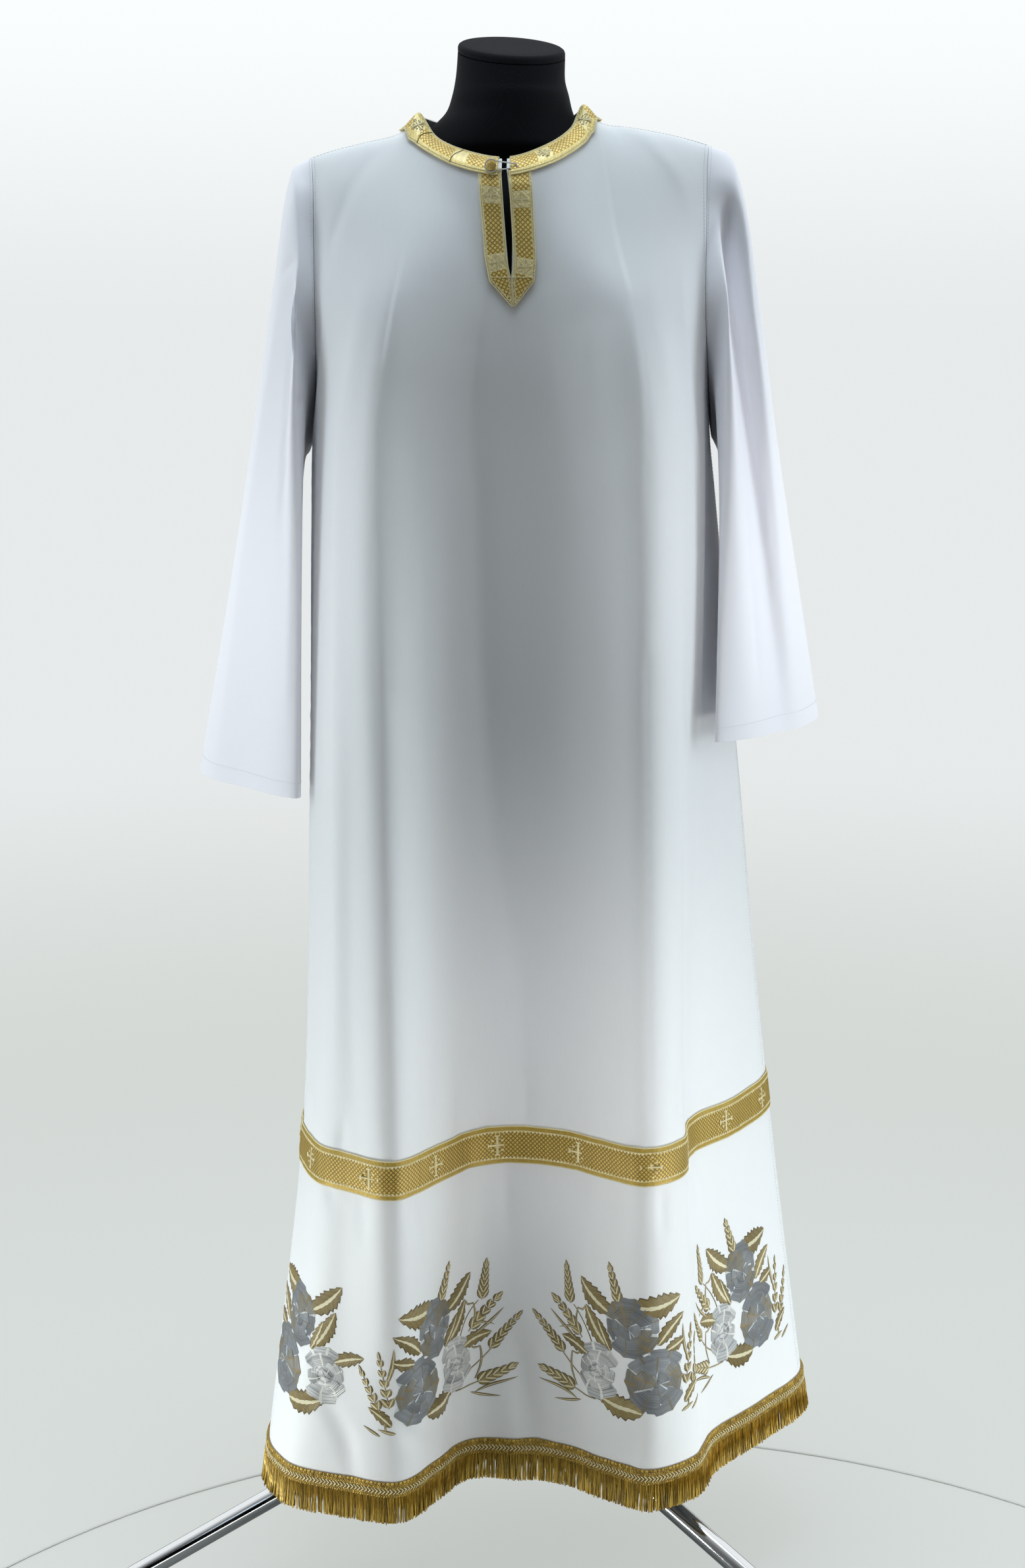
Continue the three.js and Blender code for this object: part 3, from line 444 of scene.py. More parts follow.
def lofted(rings):
    """Points and faces of a closed body through rings of equal count, with both ends closed in the middle."""
    sides = len(rings[0])
    points = [p for ring in rings for p in ring] + [rings[0].mean(0), rings[-1].mean(0)]
    faces = []
    for r in range(len(rings) - 1):
        for k in range(sides):
            n = (k + 1) % sides
            faces.append([r * sides + k, r * sides + n, (r + 1) * sides + n, (r + 1) * sides + k])
    low, high = len(points) - 2, len(points) - 1
    last = (len(rings) - 1) * sides
    for k in range(sides):
        n = (k + 1) % sides
        faces.append([low, n, k])
        faces.append([high, last + k, last + n])
    return points, faces


ORIGIN = np.array(UPRIGHT)
FORM_SIDES = 112
coarse = [form_ring(level, FORM_SIDES) for level in FORM]
fine = []
for k in range(len(coarse) - 1):
    before, after = coarse[max(k - 1, 0)], coarse[min(k + 2, len(coarse) - 1)]
    for s in np.linspace(0, 1, 7)[:-1]:
        fine.append(curve_between(before, coarse[k], coarse[k + 1], after, s))
fine.append(coarse[-1])
points, faces = lofted([ring * MM + ORIGIN for ring in fine])
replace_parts(piece("form_body", points, faces, JERSEY, sharp=60), "form_torso")
points, faces = lofted([form_ring(FORM[-1], FORM_SIDES, scale, lift) * MM + ORIGIN for scale, lift in RIM])
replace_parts(piece("form_cap", points, faces, JERSEY), "form_neck_cap")

# ---------------------------------------------------------------- body of the robe
# Front and back cut from white satin-backed crepe, seamed at the shoulders and sides, hanging in deep soft
# folds. One row per fold line, from the wearer's right side seam to the left one: hem to yoke are [x, y] at
# the heights in LEVEL, collar is [x, y, z] a galloon's width under the top, and top is [x, y, z].
LEVEL = {"hem": 190, "band": 560, "hip": 930, "arm": 1250, "bust": 1380, "yoke": 1470, "collar": 1518,
         "top": 1560}
KNOT = list(LEVEL.values())
FRONT = [
    # hem         band         hip          arm          bust         yoke         collar            top
    [(-216, 0), (-196, -8), (-197, -8), (-201, -5), (-194, -80), (-196, -60), (-197, -44, 1514),
     (-200, -18, 1544)],
    [(-257, -146), (-214, -146), (-204, -104), (-199, -68), (-181, -104), (-179, -76), (-178, -52, 1522),
     (-176, -21, 1551)],
    [(-234, -226), (-192, -238), (-184, -184), (-179, -124), (-159, -127), (-152, -92), (-150, -56, 1530),
     (-146, -24, 1558)],
    [(-176, -256), (-157, -271), (-156, -221), (-155, -157), (-136, -144), (-122, -104), (-118, -58, 1542),
     (-109, -27, 1567)],
    [(-114, -270), (-113, -291), (-121, -238), (-126, -172), (-110, -152), (-95, -111), (-98, -54, 1557),
     (-89, -30, 1584)],
    [(-76, -226), (-70, -242), (-82, -200), (-87, -155), (-72, -142), (-60, -114), (-82, -68, 1546),
     (-71, -50, 1560)],
    [(-42, -180), (-34, -203), (-40, -163), (-42, -138), (-33, -131), (-28, -113), (-48, -93, 1528),
     (-42, -73, 1545)],
    [(12, -180), (10, -190), (6, -154), (6, -134), (5, -127), (2, -113), (-2, -105, 1519), (-2, -89, 1537)],
    [(64, -191), (62, -203), (56, -163), (53, -140), (44, -131), (33, -113), (42, -93, 1530),
     (35, -72, 1548)],
    [(106, -220), (102, -228), (98, -190), (93, -156), (79, -141), (62, -111), (76, -66, 1551),
     (64, -50, 1568)],
    [(149, -245), (143, -252), (138, -213), (132, -172), (112, -150), (92, -106), (88, -54, 1565),
     (78, -30, 1592)],
    [(200, -214), (179, -227), (172, -192), (162, -158), (143, -142), (125, -100), (106, -58, 1552),
     (97, -27, 1577)],
    [(223, -160), (191, -165), (189, -146), (186, -124), (166, -126), (155, -90), (141, -56, 1543),
     (140, -24, 1571)],
    [(286, -86), (246, -98), (222, -90), (206, -74), (188, -104), (182, -76), (177, -52, 1535),
     (178, -21, 1564)],
    [(338, -8), (288, -8), (249, -6), (215, -5), (202, -80), (203, -60), (204, -44, 1526), (207, -18, 1556)],
]
BACK = [
    [(-216, 0), (-196, -8), (-197, -8), (-201, -5), (-195, 58), (-197, 52), (-198, 12, 1514),
     (-200, -18, 1544)],
    [(-212, 82), (-192, 72), (-188, 62), (-189, 52), (-181, 84), (-179, 70), (-178, 20, 1524),
     (-176, -21, 1551)],
    [(-176, 150), (-162, 138), (-162, 114), (-165, 88), (-160, 102), (-152, 84), (-150, 24, 1530),
     (-146, -24, 1558)],
    [(-140, 206), (-128, 184), (-132, 150), (-138, 112), (-132, 116), (-122, 93), (-118, 24, 1540),
     (-109, -27, 1567)],
    [(-86, 196), (-82, 180), (-92, 150), (-102, 118), (-99, 121), (-92, 98), (-95, 22, 1552),
     (-89, -30, 1584)],
    [(-50, 150), (-48, 144), (-56, 130), (-64, 112), (-65, 119), (-60, 100), (-80, 40, 1555),
     (-76, 14, 1583)],
    [(-8, 148), (-8, 142), (-20, 132), (-28, 114), (-30, 120), (-28, 102), (-47, 68, 1550), (-46, 48, 1578)],
    [(42, 176), (34, 166), (18, 148), (8, 122), (3, 122), (2, 103), (-4, 80, 1547), (-4, 62, 1576)],
    [(94, 198), (80, 184), (56, 158), (42, 124), (36, 121), (32, 102), (40, 68, 1551), (40, 48, 1579)],
    [(136, 160), (116, 152), (92, 138), (76, 114), (70, 119), (62, 100), (74, 40, 1560), (68, 14, 1588)],
    [(178, 152), (150, 144), (124, 130), (108, 112), (102, 120), (94, 98), (84, 22, 1561), (78, -30, 1592)],
    [(224, 184), (190, 168), (160, 142), (142, 114), (134, 116), (125, 94), (106, 24, 1552), (97, -27, 1577)],
    [(272, 160), (232, 144), (194, 116), (170, 92), (163, 102), (155, 85), (142, 24, 1543), (140, -24, 1571)],
    [(314, 86), (270, 76), (230, 62), (200, 52), (189, 84), (183, 70), (178, 20, 1537), (178, -21, 1564)],
    [(338, -8), (288, -8), (249, -6), (215, -5), (203, 58), (205, 52), (205, 12, 1526), (207, -18, 1556)],
]
LAST = len(FRONT) - 1
CENTRE_LINE = 7                # the fold line that the neck slit is cut along
NECK = (4, 10)                 # fold lines whose top lies on the neckline, ends included
CELLS = 12                     # columns of cloth between two fold lines
ROWS = 176                     # rows of cloth from the hem to the shoulder
CLOTH = 2.0                    # mm, the cloth with its turned edges


def through_knots(knots, values, t):
    """Cubic through values at uneven knots, with slopes taken from the neighbours on both sides."""
    i = 0
    while i < len(knots) - 2 and t > knots[i + 1]:
        i += 1

    def slope(k):
        a, b = max(k - 1, 0), min(k + 1, len(knots) - 1)
        return (values[b] - values[a]) / (knots[b] - knots[a])

    h = knots[i + 1] - knots[i]
    s = (t - knots[i]) / h
    return (values[i] * (1 + 2 * s) * (1 - s) ** 2 + slope(i) * h * s * (1 - s) ** 2
            + values[i + 1] * s * s * (3 - 2 * s) + slope(i + 1) * h * s * s * (s - 1))


def station(rows, i, k):
    """The point of fold line i at level k, in mm."""
    p = rows[i][k]
    return np.array([p[0], p[1], p[2] if len(p) > 2 else KNOT[k]], float)


def fold_line(rows, partner, i, v):
    """The point at height v on fold line i. Over the shoulder the partner's collar carries the curve on."""
    knots = list(KNOT)
    values = [station(rows, i, k) for k in range(len(KNOT))]
    if i <= NECK[0] or i >= NECK[1]:
        knots.append(2 * LEVEL["top"] - LEVEL["collar"])
        values.append(station(partner, i, len(KNOT) - 2))
    first, end = (0, 9) if 0 < i < LAST else (0, 4) if v <= LEVEL["arm"] else (3, 9)
    return through_knots(knots[first:end], values[first:end], v)


def fold_lines(rows, partner, v):
    """All fold lines at height v, with one more at each side that carries the curve round the side seam."""
    own = [fold_line(rows, partner, i, v) for i in range(LAST + 1)]
    gap = smooth_between(LEVEL["arm"] - 60, LEVEL["arm"] + 60, v)
    ends = []
    for inner, edge in ((1, 0), (LAST - 1, LAST)):
        across = fold_line(partner, rows, inner, v)
        straight = 2 * own[edge] - own[inner]
        ends.append(across * (1 - gap) + straight * gap)
    return np.array([ends[0], *own, ends[1]])


def across_folds(lines, v, u):
    """Points at u, counted in fold lines, on the smooth curve across lines."""
    i = np.clip(np.floor(u).astype(int), 0, LAST - 1)
    p0, p1, p2, p3 = (lines[i + k] for k in range(4))
    corner = smooth_between(LEVEL["yoke"], LEVEL["top"], v)
    starts = np.isin(i, NECK)[:, None]
    ends = np.isin(i + 1, NECK)[:, None]
    p0 = np.where(starts, p0 * (1 - corner) + (2 * p1 - p2) * corner, p0)
    p3 = np.where(ends, p3 * (1 - corner) + (2 * p2 - p1) * corner, p3)
    return curve_between(p0, p1, p2, p3, (u - i)[:, None])


def lay_out(rows, partner, facing):
    """A panel as a fine grid: points and outward directions, the grid's u and v, and the width along it."""
    u = np.linspace(0, LAST, LAST * CELLS + 1)
    below = [LEVEL["hem"] - 4, LEVEL["hem"] - 2]        # under the hem, for the heading of the fringe
    v = np.concatenate([below, np.linspace(LEVEL["hem"], LEVEL["top"], ROWS)])
    at, out = [], []
    for height in v:
        lines = fold_lines(rows, partner, height)
        at.append(across_folds(lines, height, u))
        du = across_folds(lines, height, u + 0.02) - across_folds(lines, height, u - 0.02)
        up, down = (across_folds(fold_lines(rows, partner, height + k), height + k, u) for k in (1, -1))
        n = np.cross(du, up - down) * facing
        out.append(n / np.linalg.norm(n, axis=1)[:, None])
    at = np.array(at)
    step = np.linalg.norm(np.diff(at, axis=1), axis=2)
    width = np.concatenate([np.zeros((len(v), 1)), np.cumsum(step, axis=1)], 1)
    width -= width[:, [CENTRE_LINE * CELLS]]
    return {"u": u, "v": v, "at": at, "out": np.array(out), "width": width, "facing": facing}


def on_cloth(panel, u, v, lift=0.0, field="at"):
    """Points of a panel in mm at u and v, moved out by lift, or another of its fields there."""
    u, v = np.broadcast_arrays(np.asarray(u, float), np.asarray(v, float))
    column = np.interp(u, panel["u"], np.arange(len(panel["u"])))
    row = np.interp(v, panel["v"], np.arange(len(panel["v"])))
    c = np.minimum(column.astype(int), len(panel["u"]) - 2)
    r = np.minimum(row.astype(int), len(panel["v"]) - 2)

    def blend(grid):
        s, t = column - c, row - r
        if grid.ndim == 3:
            s, t = s[..., None], t[..., None]
        return ((grid[r, c] * (1 - s) + grid[r, c + 1] * s) * (1 - t)
                + (grid[r + 1, c] * (1 - s) + grid[r + 1, c + 1] * s) * t)

    if field != "at":
        return blend(panel[field])
    out = blend(panel["out"])
    out /= np.linalg.norm(out, axis=-1)[..., None]
    return blend(panel["at"]) + out * np.asarray(lift)[..., None]


CREASE_STEPS = 25              # samples of a crease's path between two of its points
LINE_GAP = 25                  # mm, the least cloth between two fold lines


def press(panel, creases):
    """Presses creases into a panel: each is its line as (u, v) points, its height in mm, out or in, and its
    width. A sharp fold has two widths, for its low-u and high-u side: it falls steeply on the narrow side and
    is flat beside its edge on the wide one. Both ends die away."""
    moved = np.zeros(panel["at"].shape[:2])
    for line, height, *widths in creases:
        u, v = np.array(line, float).T
        t = np.linspace(0, 1, CREASE_STEPS * (len(u) - 1) + 1)
        knots = np.linspace(0, 1, len(u))
        path = on_cloth(panel, np.interp(t, knots, u), np.interp(t, knots, v))
        reach = max(60, 2.8 * max(widths))
        beside = reach / LINE_GAP
        columns = np.abs(panel["u"] - np.clip(panel["u"], u.min() - beside, u.max() + beside)) < 1e-9
        rows = np.abs(panel["v"] - np.clip(panel["v"], v.min() - reach, v.max() + reach)) < 1e-9
        patch = np.ix_(rows, columns)
        away = np.linalg.norm(panel["at"][patch][:, :, None, :] - path[None, None, :, :], axis=3)
        near = away.min(2)
        share = t[away.argmin(2)]
        low_side = panel["u"][columns] < np.interp(share, t, np.interp(t, knots, u))
        width = np.where(low_side, widths[0], widths[-1])
        profile = np.exp(-(near / width) ** np.where(width < max(widths), 1, 2))
        moved[patch] += height * profile * np.sin(math.pi * np.clip(share, 0.02, 0.98)) ** 0.5
    panel["at"] = panel["at"] + panel["out"] * moved[..., None]


RIPPLES = [(46, 330, 0, 1.0), (19, 120, 5, 0.35)]     # length across and down in mm, own seed, share


def ripple(panel, amount, seed):
    """Soft unevenness of hanging cloth: long shallow waves, stronger away from the shoulders."""
    moved = np.zeros(panel["at"].shape[:2])
    for r, v in enumerate(panel["v"]):
        loose = 0.35 + 0.65 * smooth_between(1450, 900, v) if v > 900 else 1.0
        for c, s in enumerate(panel["width"][r]):
            moved[r, c] = amount * loose * sum(share * noise.noise(Vector((s / across, v / down, seed + own)))
                                               for across, down, own, share in RIPPLES)
    panel["at"] = panel["at"] + panel["out"] * moved[..., None]


FRONT_CREASES = [
    ([(3.9, 185), (3.96, 733), (4.0, 925), (4.0, 1115), (3.85, 1330)], 9.0, 24, 100),
    ([(10.0, 185), (10.0, 549), (10.0, 1050), (10.0, 1204), (10.5, 1400)], 11.0, 105, 24),
    ([(6.3, 800), (6.1, 960), (6.04, 1109), (6.0, 1241), (5.79, 1380)], 5.0, 34, 50),
    ([(6.1, 1350), (6.3, 1200), (6.36, 1042), (6.6, 860), (6.8, 740)], -8.5, 16),
    ([(4.95, 1430), (5.06, 1241), (4.76, 1097), (4.2, 1010)], 3.6, 60, 45),
    ([(8.0, 1420), (8.64, 1331), (9.33, 1267), (9.9, 1190)], 3.6, 55, 50),
    ([(2.4, 1400), (2.5, 1000), (2.5, 620)], 2.4, 14, 20),
    ([(12.0, 1300), (12.1, 900), (12.0, 240)], 2.6, 20, 14),
    ([(1.2, 1300), (1.3, 800), (1.3, 230)], 2.0, 12, 16),
    ([(6.42, 1416), (6.2, 1360), (6.1, 1290)], -1.6, 6), ([(7.6, 1404), (7.9, 1350), (8.1, 1280)], -1.2, 7),
    ([(11.4, 1552), (12.2, 1530), (13.0, 1500)], 1.6, 5, 8),
    ([(2.6, 1530), (1.7, 1500), (0.9, 1440)], -1.0, 6),
    ([(11.1, 1558), (11.5, 1535)], -0.9, 4), ([(5.0, 420), (5.4, 300), (5.6, 200)], -4.0, 11),
    ([(7.0, 330), (7.2, 250), (7.4, 192)], -10.0, 15), ([(8.6, 470), (8.5, 330), (8.6, 200)], 4.0, 14, 30),
    ([(2.5, 310), (3.1, 250), (3.3, 200)], -4.0, 11), ([(3.6, 330), (4.2, 260), (4.9, 225)], -3.0, 9),
    ([(9.4, 320), (9.7, 250), (9.5, 196)], -4.0, 11), ([(11.2, 360), (11.5, 280), (11.3, 200)], -3.5, 11),
    ([(12.6, 1440), (12.2, 1300), (12.3, 1180)], 1.4, 7, 10),
    ([(0.7, 1440), (1.0, 1330), (0.9, 1200)], 1.2, 8, 7),
]
BACK_CREASES = [
    ([(3.0, 185), (3.0, 560), (3.1, 1300)], 9.0, 24, 95),
    ([(11.0, 185), (11.0, 560), (10.8, 1300)], 9.0, 95, 24),
    ([(7.4, 620), (7.0, 900), (6.9, 1250), (7.1, 1400)], 6.0, 30, 90),
    ([(5.4, 1380), (5.5, 1000), (5.6, 420)], -5.0, 16),
    ([(9.4, 1420), (9.9, 1320), (10.6, 1220)], 3.4, 50, 50),
    ([(4.6, 1420), (4.2, 1300), (3.4, 1180)], 3.4, 50, 50),
    ([(1.6, 1300), (1.5, 800), (1.5, 240)], 2.4, 14, 20),
    ([(12.4, 1300), (12.5, 900), (12.4, 260)], 2.4, 20, 14),
    ([(6.4, 1500), (6.6, 1380), (6.8, 1200)], 1.6, 12), ([(8.9, 430), (8.8, 300), (8.9, 195)], -4.0, 15),
    ([(2.4, 1500), (3.2, 1440), (4.4, 1400)], -1.4, 9), ([(11.6, 1500), (10.8, 1440), (9.6, 1400)], -1.4, 9),
]


GATHER = {"above": 560, "below": 524, "length": 46, "longer": 34, "depth": 2.2, "width": 7.0}


def gathers(count):
    """Small creases that start from the galloon's stitching, up and down, at uneven places."""
    found = []
    for k in range(count):
        chance = [noise.random_unit_vector() for _ in range(2)]
        u = 0.5 + 13 * (k + 0.4 * chance[0].x + 0.4) / count
        away = 1 if k % 2 else -1
        start = GATHER["above" if away > 0 else "below"]
        length = away * (GATHER["length"] + GATHER["longer"] * chance[0].y)
        line = [(u, start), (u + 0.12 * chance[1].x, start + length / 2),
                (u + 0.2 * chance[1].x, start + length)]
        found.append((line, -GATHER["depth"] - chance[1].y, GATHER["width"]))
    return found


noise.seed_set(17)
FRONT_CREASES += gathers(30)
BACK_CREASES += gathers(26)
front = lay_out(FRONT, BACK, 1)
back = lay_out(BACK, FRONT, -1)
for panel, creases, seed in ((front, FRONT_CREASES, 3.1), (back, BACK_CREASES, 8.4)):
    press(panel, creases)
    ripple(panel, 1.1, seed)

SATIN = cloth_finish("white_satin", (0.84, 0.845, 0.86), (0.80, 0.805, 0.825), 0.5, 1400.0, 0.12, 0.15)


def quad_grid(columns, rows, closed=False, flip=False):
    """Faces over a grid of points, rows upward; closed joins the last column to the first."""
    faces = []
    for r in range(rows - 1):
        for c in range(columns if closed else columns - 1):
            n = (c + 1) % columns
            face = [r * columns + c, r * columns + n, (r + 1) * columns + n, (r + 1) * columns + c]
            faces.append(face[::-1] if flip else face)
    return faces


def walled(outer, out, faces, thickness):
    """A closed shell: the outer face, the same moved in by thickness, and a wall along every free edge."""
    count = len(outer)
    points = np.concatenate([outer, outer - out * np.reshape(thickness, (-1, 1))])
    used = {(f[k], f[(k + 1) % len(f)]) for f in faces for k in range(len(f))}
    shell = [*faces, *([k + count for k in reversed(f)] for f in faces)]
    shell += [[b, a, a + count, b + count] for a, b in used if (b, a) not in used]
    return points, shell


def cloth_piece(name, outer, out, faces, thickness, uv, finish):
    """A piece of cloth or ribbon as a closed shell, from a grid or a list of points in mm."""
    points, shell = walled(np.reshape(outer, (-1, 3)), np.reshape(out, (-1, 3)), faces, thickness)
    return piece(name, points * MM + ORIGIN, shell, finish, np.tile(np.reshape(uv, (-1, 2)), (2, 1)),
                 50)


def panel_uv(panel, rows):
    """Width and height along the cloth in metres, one for each point of the rows."""
    height = np.repeat(panel["v"][rows][:, None], len(panel["u"]), 1)
    return np.stack([panel["width"][rows], height], 2) * MM


SLIT = {"end": 1423, "half": 3.6, "reach": 1 / 3}
rows = np.flatnonzero(panel["v"] >= LEVEL["hem"])

at = front["at"][rows].copy()
rise = np.clip((front["v"][rows] - SLIT["end"]) / (LEVEL["top"] - SLIT["end"]), 0, 1)
half = SLIT["half"] * (0.35 + 0.65 * np.sin(math.pi * np.minimum(rise * 1.3, 1) * 0.82)) * (rise > 0)
off = front["u"] - CENTRE_LINE
pull = np.clip(1 - np.abs(off) / SLIT["reach"], 0, None) * np.where(off < 0, -1, 1)
at[..., 0] += half[:, None] * pull
columns = len(front["u"])
centre = CENTRE_LINE * CELLS
points = at.reshape(-1, 3)
normals = front["out"][rows].reshape(-1, 3)
uv = panel_uv(front, rows).reshape(-1, 2)
opened = [k for k in range(len(rows)) if rise[k] > 0]
twin = {k * columns + centre: len(points) + n for n, k in enumerate(opened)}
copies = list(twin)
left_side = points[copies].copy()
left_side[:, 0] -= 2 * half[opened]
faces = []
for face in quad_grid(columns, len(rows)):
    on_right = face[0] % columns < centre
    faces.append([twin.get(k, k) if on_right else k for k in face])
points = np.concatenate([points, left_side])
normals = np.concatenate([normals, normals[copies]])
uv = np.concatenate([uv, uv[copies]])
front_cloth = cloth_piece("robe_front", points, normals, faces, CLOTH, uv, SATIN)
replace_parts(front_cloth, "front_panel")

back_cloth = cloth_piece("robe_back", back["at"][rows], back["out"][rows],
                         quad_grid(columns, len(rows), flip=True), CLOTH, panel_uv(back, rows), SATIN)
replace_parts(back_cloth, "back_panel")

# ---------------------------------------------------------------- sleeves
# Wide one-piece sleeves of the same cloth, set into the armholes and hemmed with a turned edge. One row per
# line round the tube: where it leaves the armhole, then [x, y, z] down it, and [x, y] on the level edge.
SLEEVES = {
    "sleeve_right": {"cuff": 900, "side": -1, "cut": (0.60, 0.66), "area": 0.252, "lines": [
        (("front", 1560), (-222, -6, 1531), (-242, 4, 1430), (-280, 8, 1200), (-336, 10)),
        (("front", 1510), (-217, -46, 1510), (-236, -52, 1410), (-272, -48, 1195), (-318, -46)),
        (("front", 1440), (-210, -76, 1452), (-220, -88, 1372), (-244, -90, 1180), (-278, -92)),
        (("front", 1380), (-211, -94, 1388), (-214, -108, 1330), (-222, -118, 1165), (-240, -138)),
        (("front", 1320), (-203, -74, 1318), (-206, -92, 1285), (-209, -122, 1150), (-213, -155)),
        (("front", 1275), (-206, -38, 1266), (-209, -60, 1246), (-213, -86, 1130), (-216, -118)),
        (("back", 1262), (-208, 6, 1249), (-214, -8, 1232), (-224, -26, 1120), (-238, -52)),
        (("back", 1330), (-206, 48, 1318), (-216, 50, 1284), (-236, 42, 1150), (-264, 28)),
        (("back", 1400), (-207, 70, 1400), (-226, 84, 1350), (-258, 86, 1180), (-302, 84)),
        (("back", 1500), (-217, 42, 1502), (-240, 54, 1410), (-280, 58, 1195), (-332, 62)),
    ]},
    "sleeve_left": {"cuff": 958, "side": 1, "cut": (0.61, 0.62), "area": 0.239, "lines": [
        (("front", 1560), (232, -6, 1544), (257, 4, 1440), (290, 8, 1240), (339, 10)),
        (("front", 1520), (234, -44, 1516), (254, -62, 1404), (276, -68, 1235), (312, -60)),
        (("front", 1470), (217, -50, 1480), (228, -56, 1392), (252, -72, 1225), (286, -90)),
        (("front", 1400), (218, -92, 1410), (225, -108, 1350), (236, -120, 1200), (250, -132)),
        (("front", 1330), (211, -74, 1326), (213, -94, 1292), (216, -122, 1180), (213, -155)),
        (("front", 1280), (219, -38, 1270), (222, -58, 1250), (226, -84, 1160), (226, -122)),
        (("back", 1262), (223, 6, 1249), (230, -6, 1234), (242, -20, 1150), (258, -52)),
        (("back", 1330), (216, 48, 1318), (230, 52, 1288), (252, 44, 1180), (284, 26)),
        (("back", 1400), (216, 70, 1402), (236, 86, 1356), (268, 88, 1200), (312, 84)),
        (("back", 1505), (227, 42, 1508), (252, 54, 1416), (290, 58, 1230), (336, 62)),
    ]},
}
SLEEVE_KNOTS = [0, 0.06, 0.26, 0.58, 1]
SEWN_REACH = 0.14              # the share of the sleeve over which its top is eased onto the armhole
# The sleeves are cut from the body's white satin. This lighter, bluer copy of it is painted light, standing
# in for the extra cool light that the sleeves catch.
SLEEVE_SATIN_PAINTED_LIGHT = cloth_finish("white_satin_painted_light", (0.90, 0.885, 0.935), (0.87, 0.855, 0.91), 0.48, 1400.0,
                            0.12, 0.2)


def sleeve_grid(sleeve, around, down):
    """A sleeve's outer points in mm: down rows from the cuff up, around columns. Its top row follows the
    armhole of the panels."""
    def armhole(side_of, height):
        panel = front if side_of == "front" else back
        start = on_cloth(panel, 0 if sleeve["side"] < 0 else LAST, min(height, LEVEL["top"]))
        start[0] += sleeve["side"] * (0.4 + 1.8 * smooth_between(0, 70, 1340 - height))
        return start

    lines = []
    for place, crown, upper, mid, cuff in sleeve["lines"]:
        below = (np.array(p, float) for p in (crown, upper, mid, (*cuff, sleeve["cuff"])))
        lines.append([armhole(*place), *below])
    n = len(lines)
    u = np.arange(around) * n / around
    i = u.astype(int)
    grid = []
    for t in down:
        at_t = np.array([through_knots(SLEEVE_KNOTS, line, t) for line in lines])
        p0, p1, p2, p3 = (at_t[(i + k) % n] for k in (-1, 0, 1, 2))
        grid.append(curve_between(p0, p1, p2, p3, (u - i)[:, None]))
    grid = np.array(grid)
    sewn = grid[-1].copy()
    for k, (line, share) in enumerate(zip(i, u - i)):
        (side_of, height), (other, next_height) = (sleeve["lines"][j % n][0] for j in (line, line + 1))
        if side_of == other or side_of == "back":
            sewn[k] = armhole(side_of, height + (next_height - height) * share)
    return grid + (sewn - grid[-1]) * (np.clip(1 - down / SEWN_REACH, 0, 1) ** 2)[:, None, None]


def distances(path):
    """How far along a line of points each of them is, in mm."""
    return np.concatenate([[0], np.cumsum(np.linalg.norm(np.diff(path, axis=0), axis=1))])


def outward(grid, facing):
    """Outward directions of a grid closed round its columns."""
    du = np.roll(grid, -1, 1) - np.roll(grid, 1, 1)
    dv = np.gradient(grid, axis=0)
    n = np.cross(du, dv) * facing
    return n / np.linalg.norm(n, axis=2)[..., None]


SLEEVE_CREASES = {
    "sleeve_right": [([(2.2, 600), (2.35, 470), (2.6, 290)], -4.0, 7),
                     ([(3.1, 540), (3.2, 360), (3.3, 90)], 2.6, 8),
                     ([(1.3, 560), (1.2, 300), (1.2, 20)], 1.5, 9), ([(1.9, 610), (1.2, 560)], -1.6, 5),
                     ([(3.9, 560), (3.3, 500)], -1.6, 5), ([(8.2, 560), (8.3, 200)], -2.0, 8)],
    "sleeve_left": [([(1.5, 590), (2.0, 540), (2.6, 430)], -5.0, 6),
                    ([(1.7, 500), (1.65, 320), (1.6, 120)], 3.6, 7),
                    ([(2.4, 430), (2.5, 260), (2.6, 60)], -3.6, 8), ([(3.4, 520), (3.5, 250)], 1.6, 8),
                    ([(1.1, 560), (0.9, 380)], -1.6, 6), ([(8.0, 540), (8.2, 200)], -2.0, 8)],
}
SLEEVE_HEM = 18.0              # mm, the turned edge of a sleeve
SLEEVE_ROWS, AROUND = 96, 140
tubes = {}
for name, sleeve in SLEEVES.items():
    grid = sleeve_grid(sleeve, AROUND, np.linspace(1, 0, SLEEVE_ROWS))
    facing = -sleeve["side"]
    length = distances(grid[:, 0])
    tube = {"u": np.arange(AROUND) * len(sleeve["lines"]) / AROUND, "v": length, "at": grid,
            "out": outward(grid, facing)}
    press(tube, SLEEVE_CREASES[name])
    fold = np.exp(-((length - SLEEVE_HEM) / 2.2) ** 2) * -0.5
    tube["at"] = tube["at"] + tube["out"] * fold[:, None, None]
    tubes[name] = tube
    girth = np.linalg.norm(np.roll(grid[0], -1, 0) - grid[0], axis=1).cumsum()
    uv = np.stack(np.broadcast_arrays(girth[None, :], length[:, None]), 2) * MM
    made = cloth_piece(f"robe_{name}", tube["at"], tube["out"],
                       quad_grid(AROUND, SLEEVE_ROWS, True, facing < 0), CLOTH, uv, SLEEVE_SATIN_PAINTED_LIGHT)
    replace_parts(made, name)
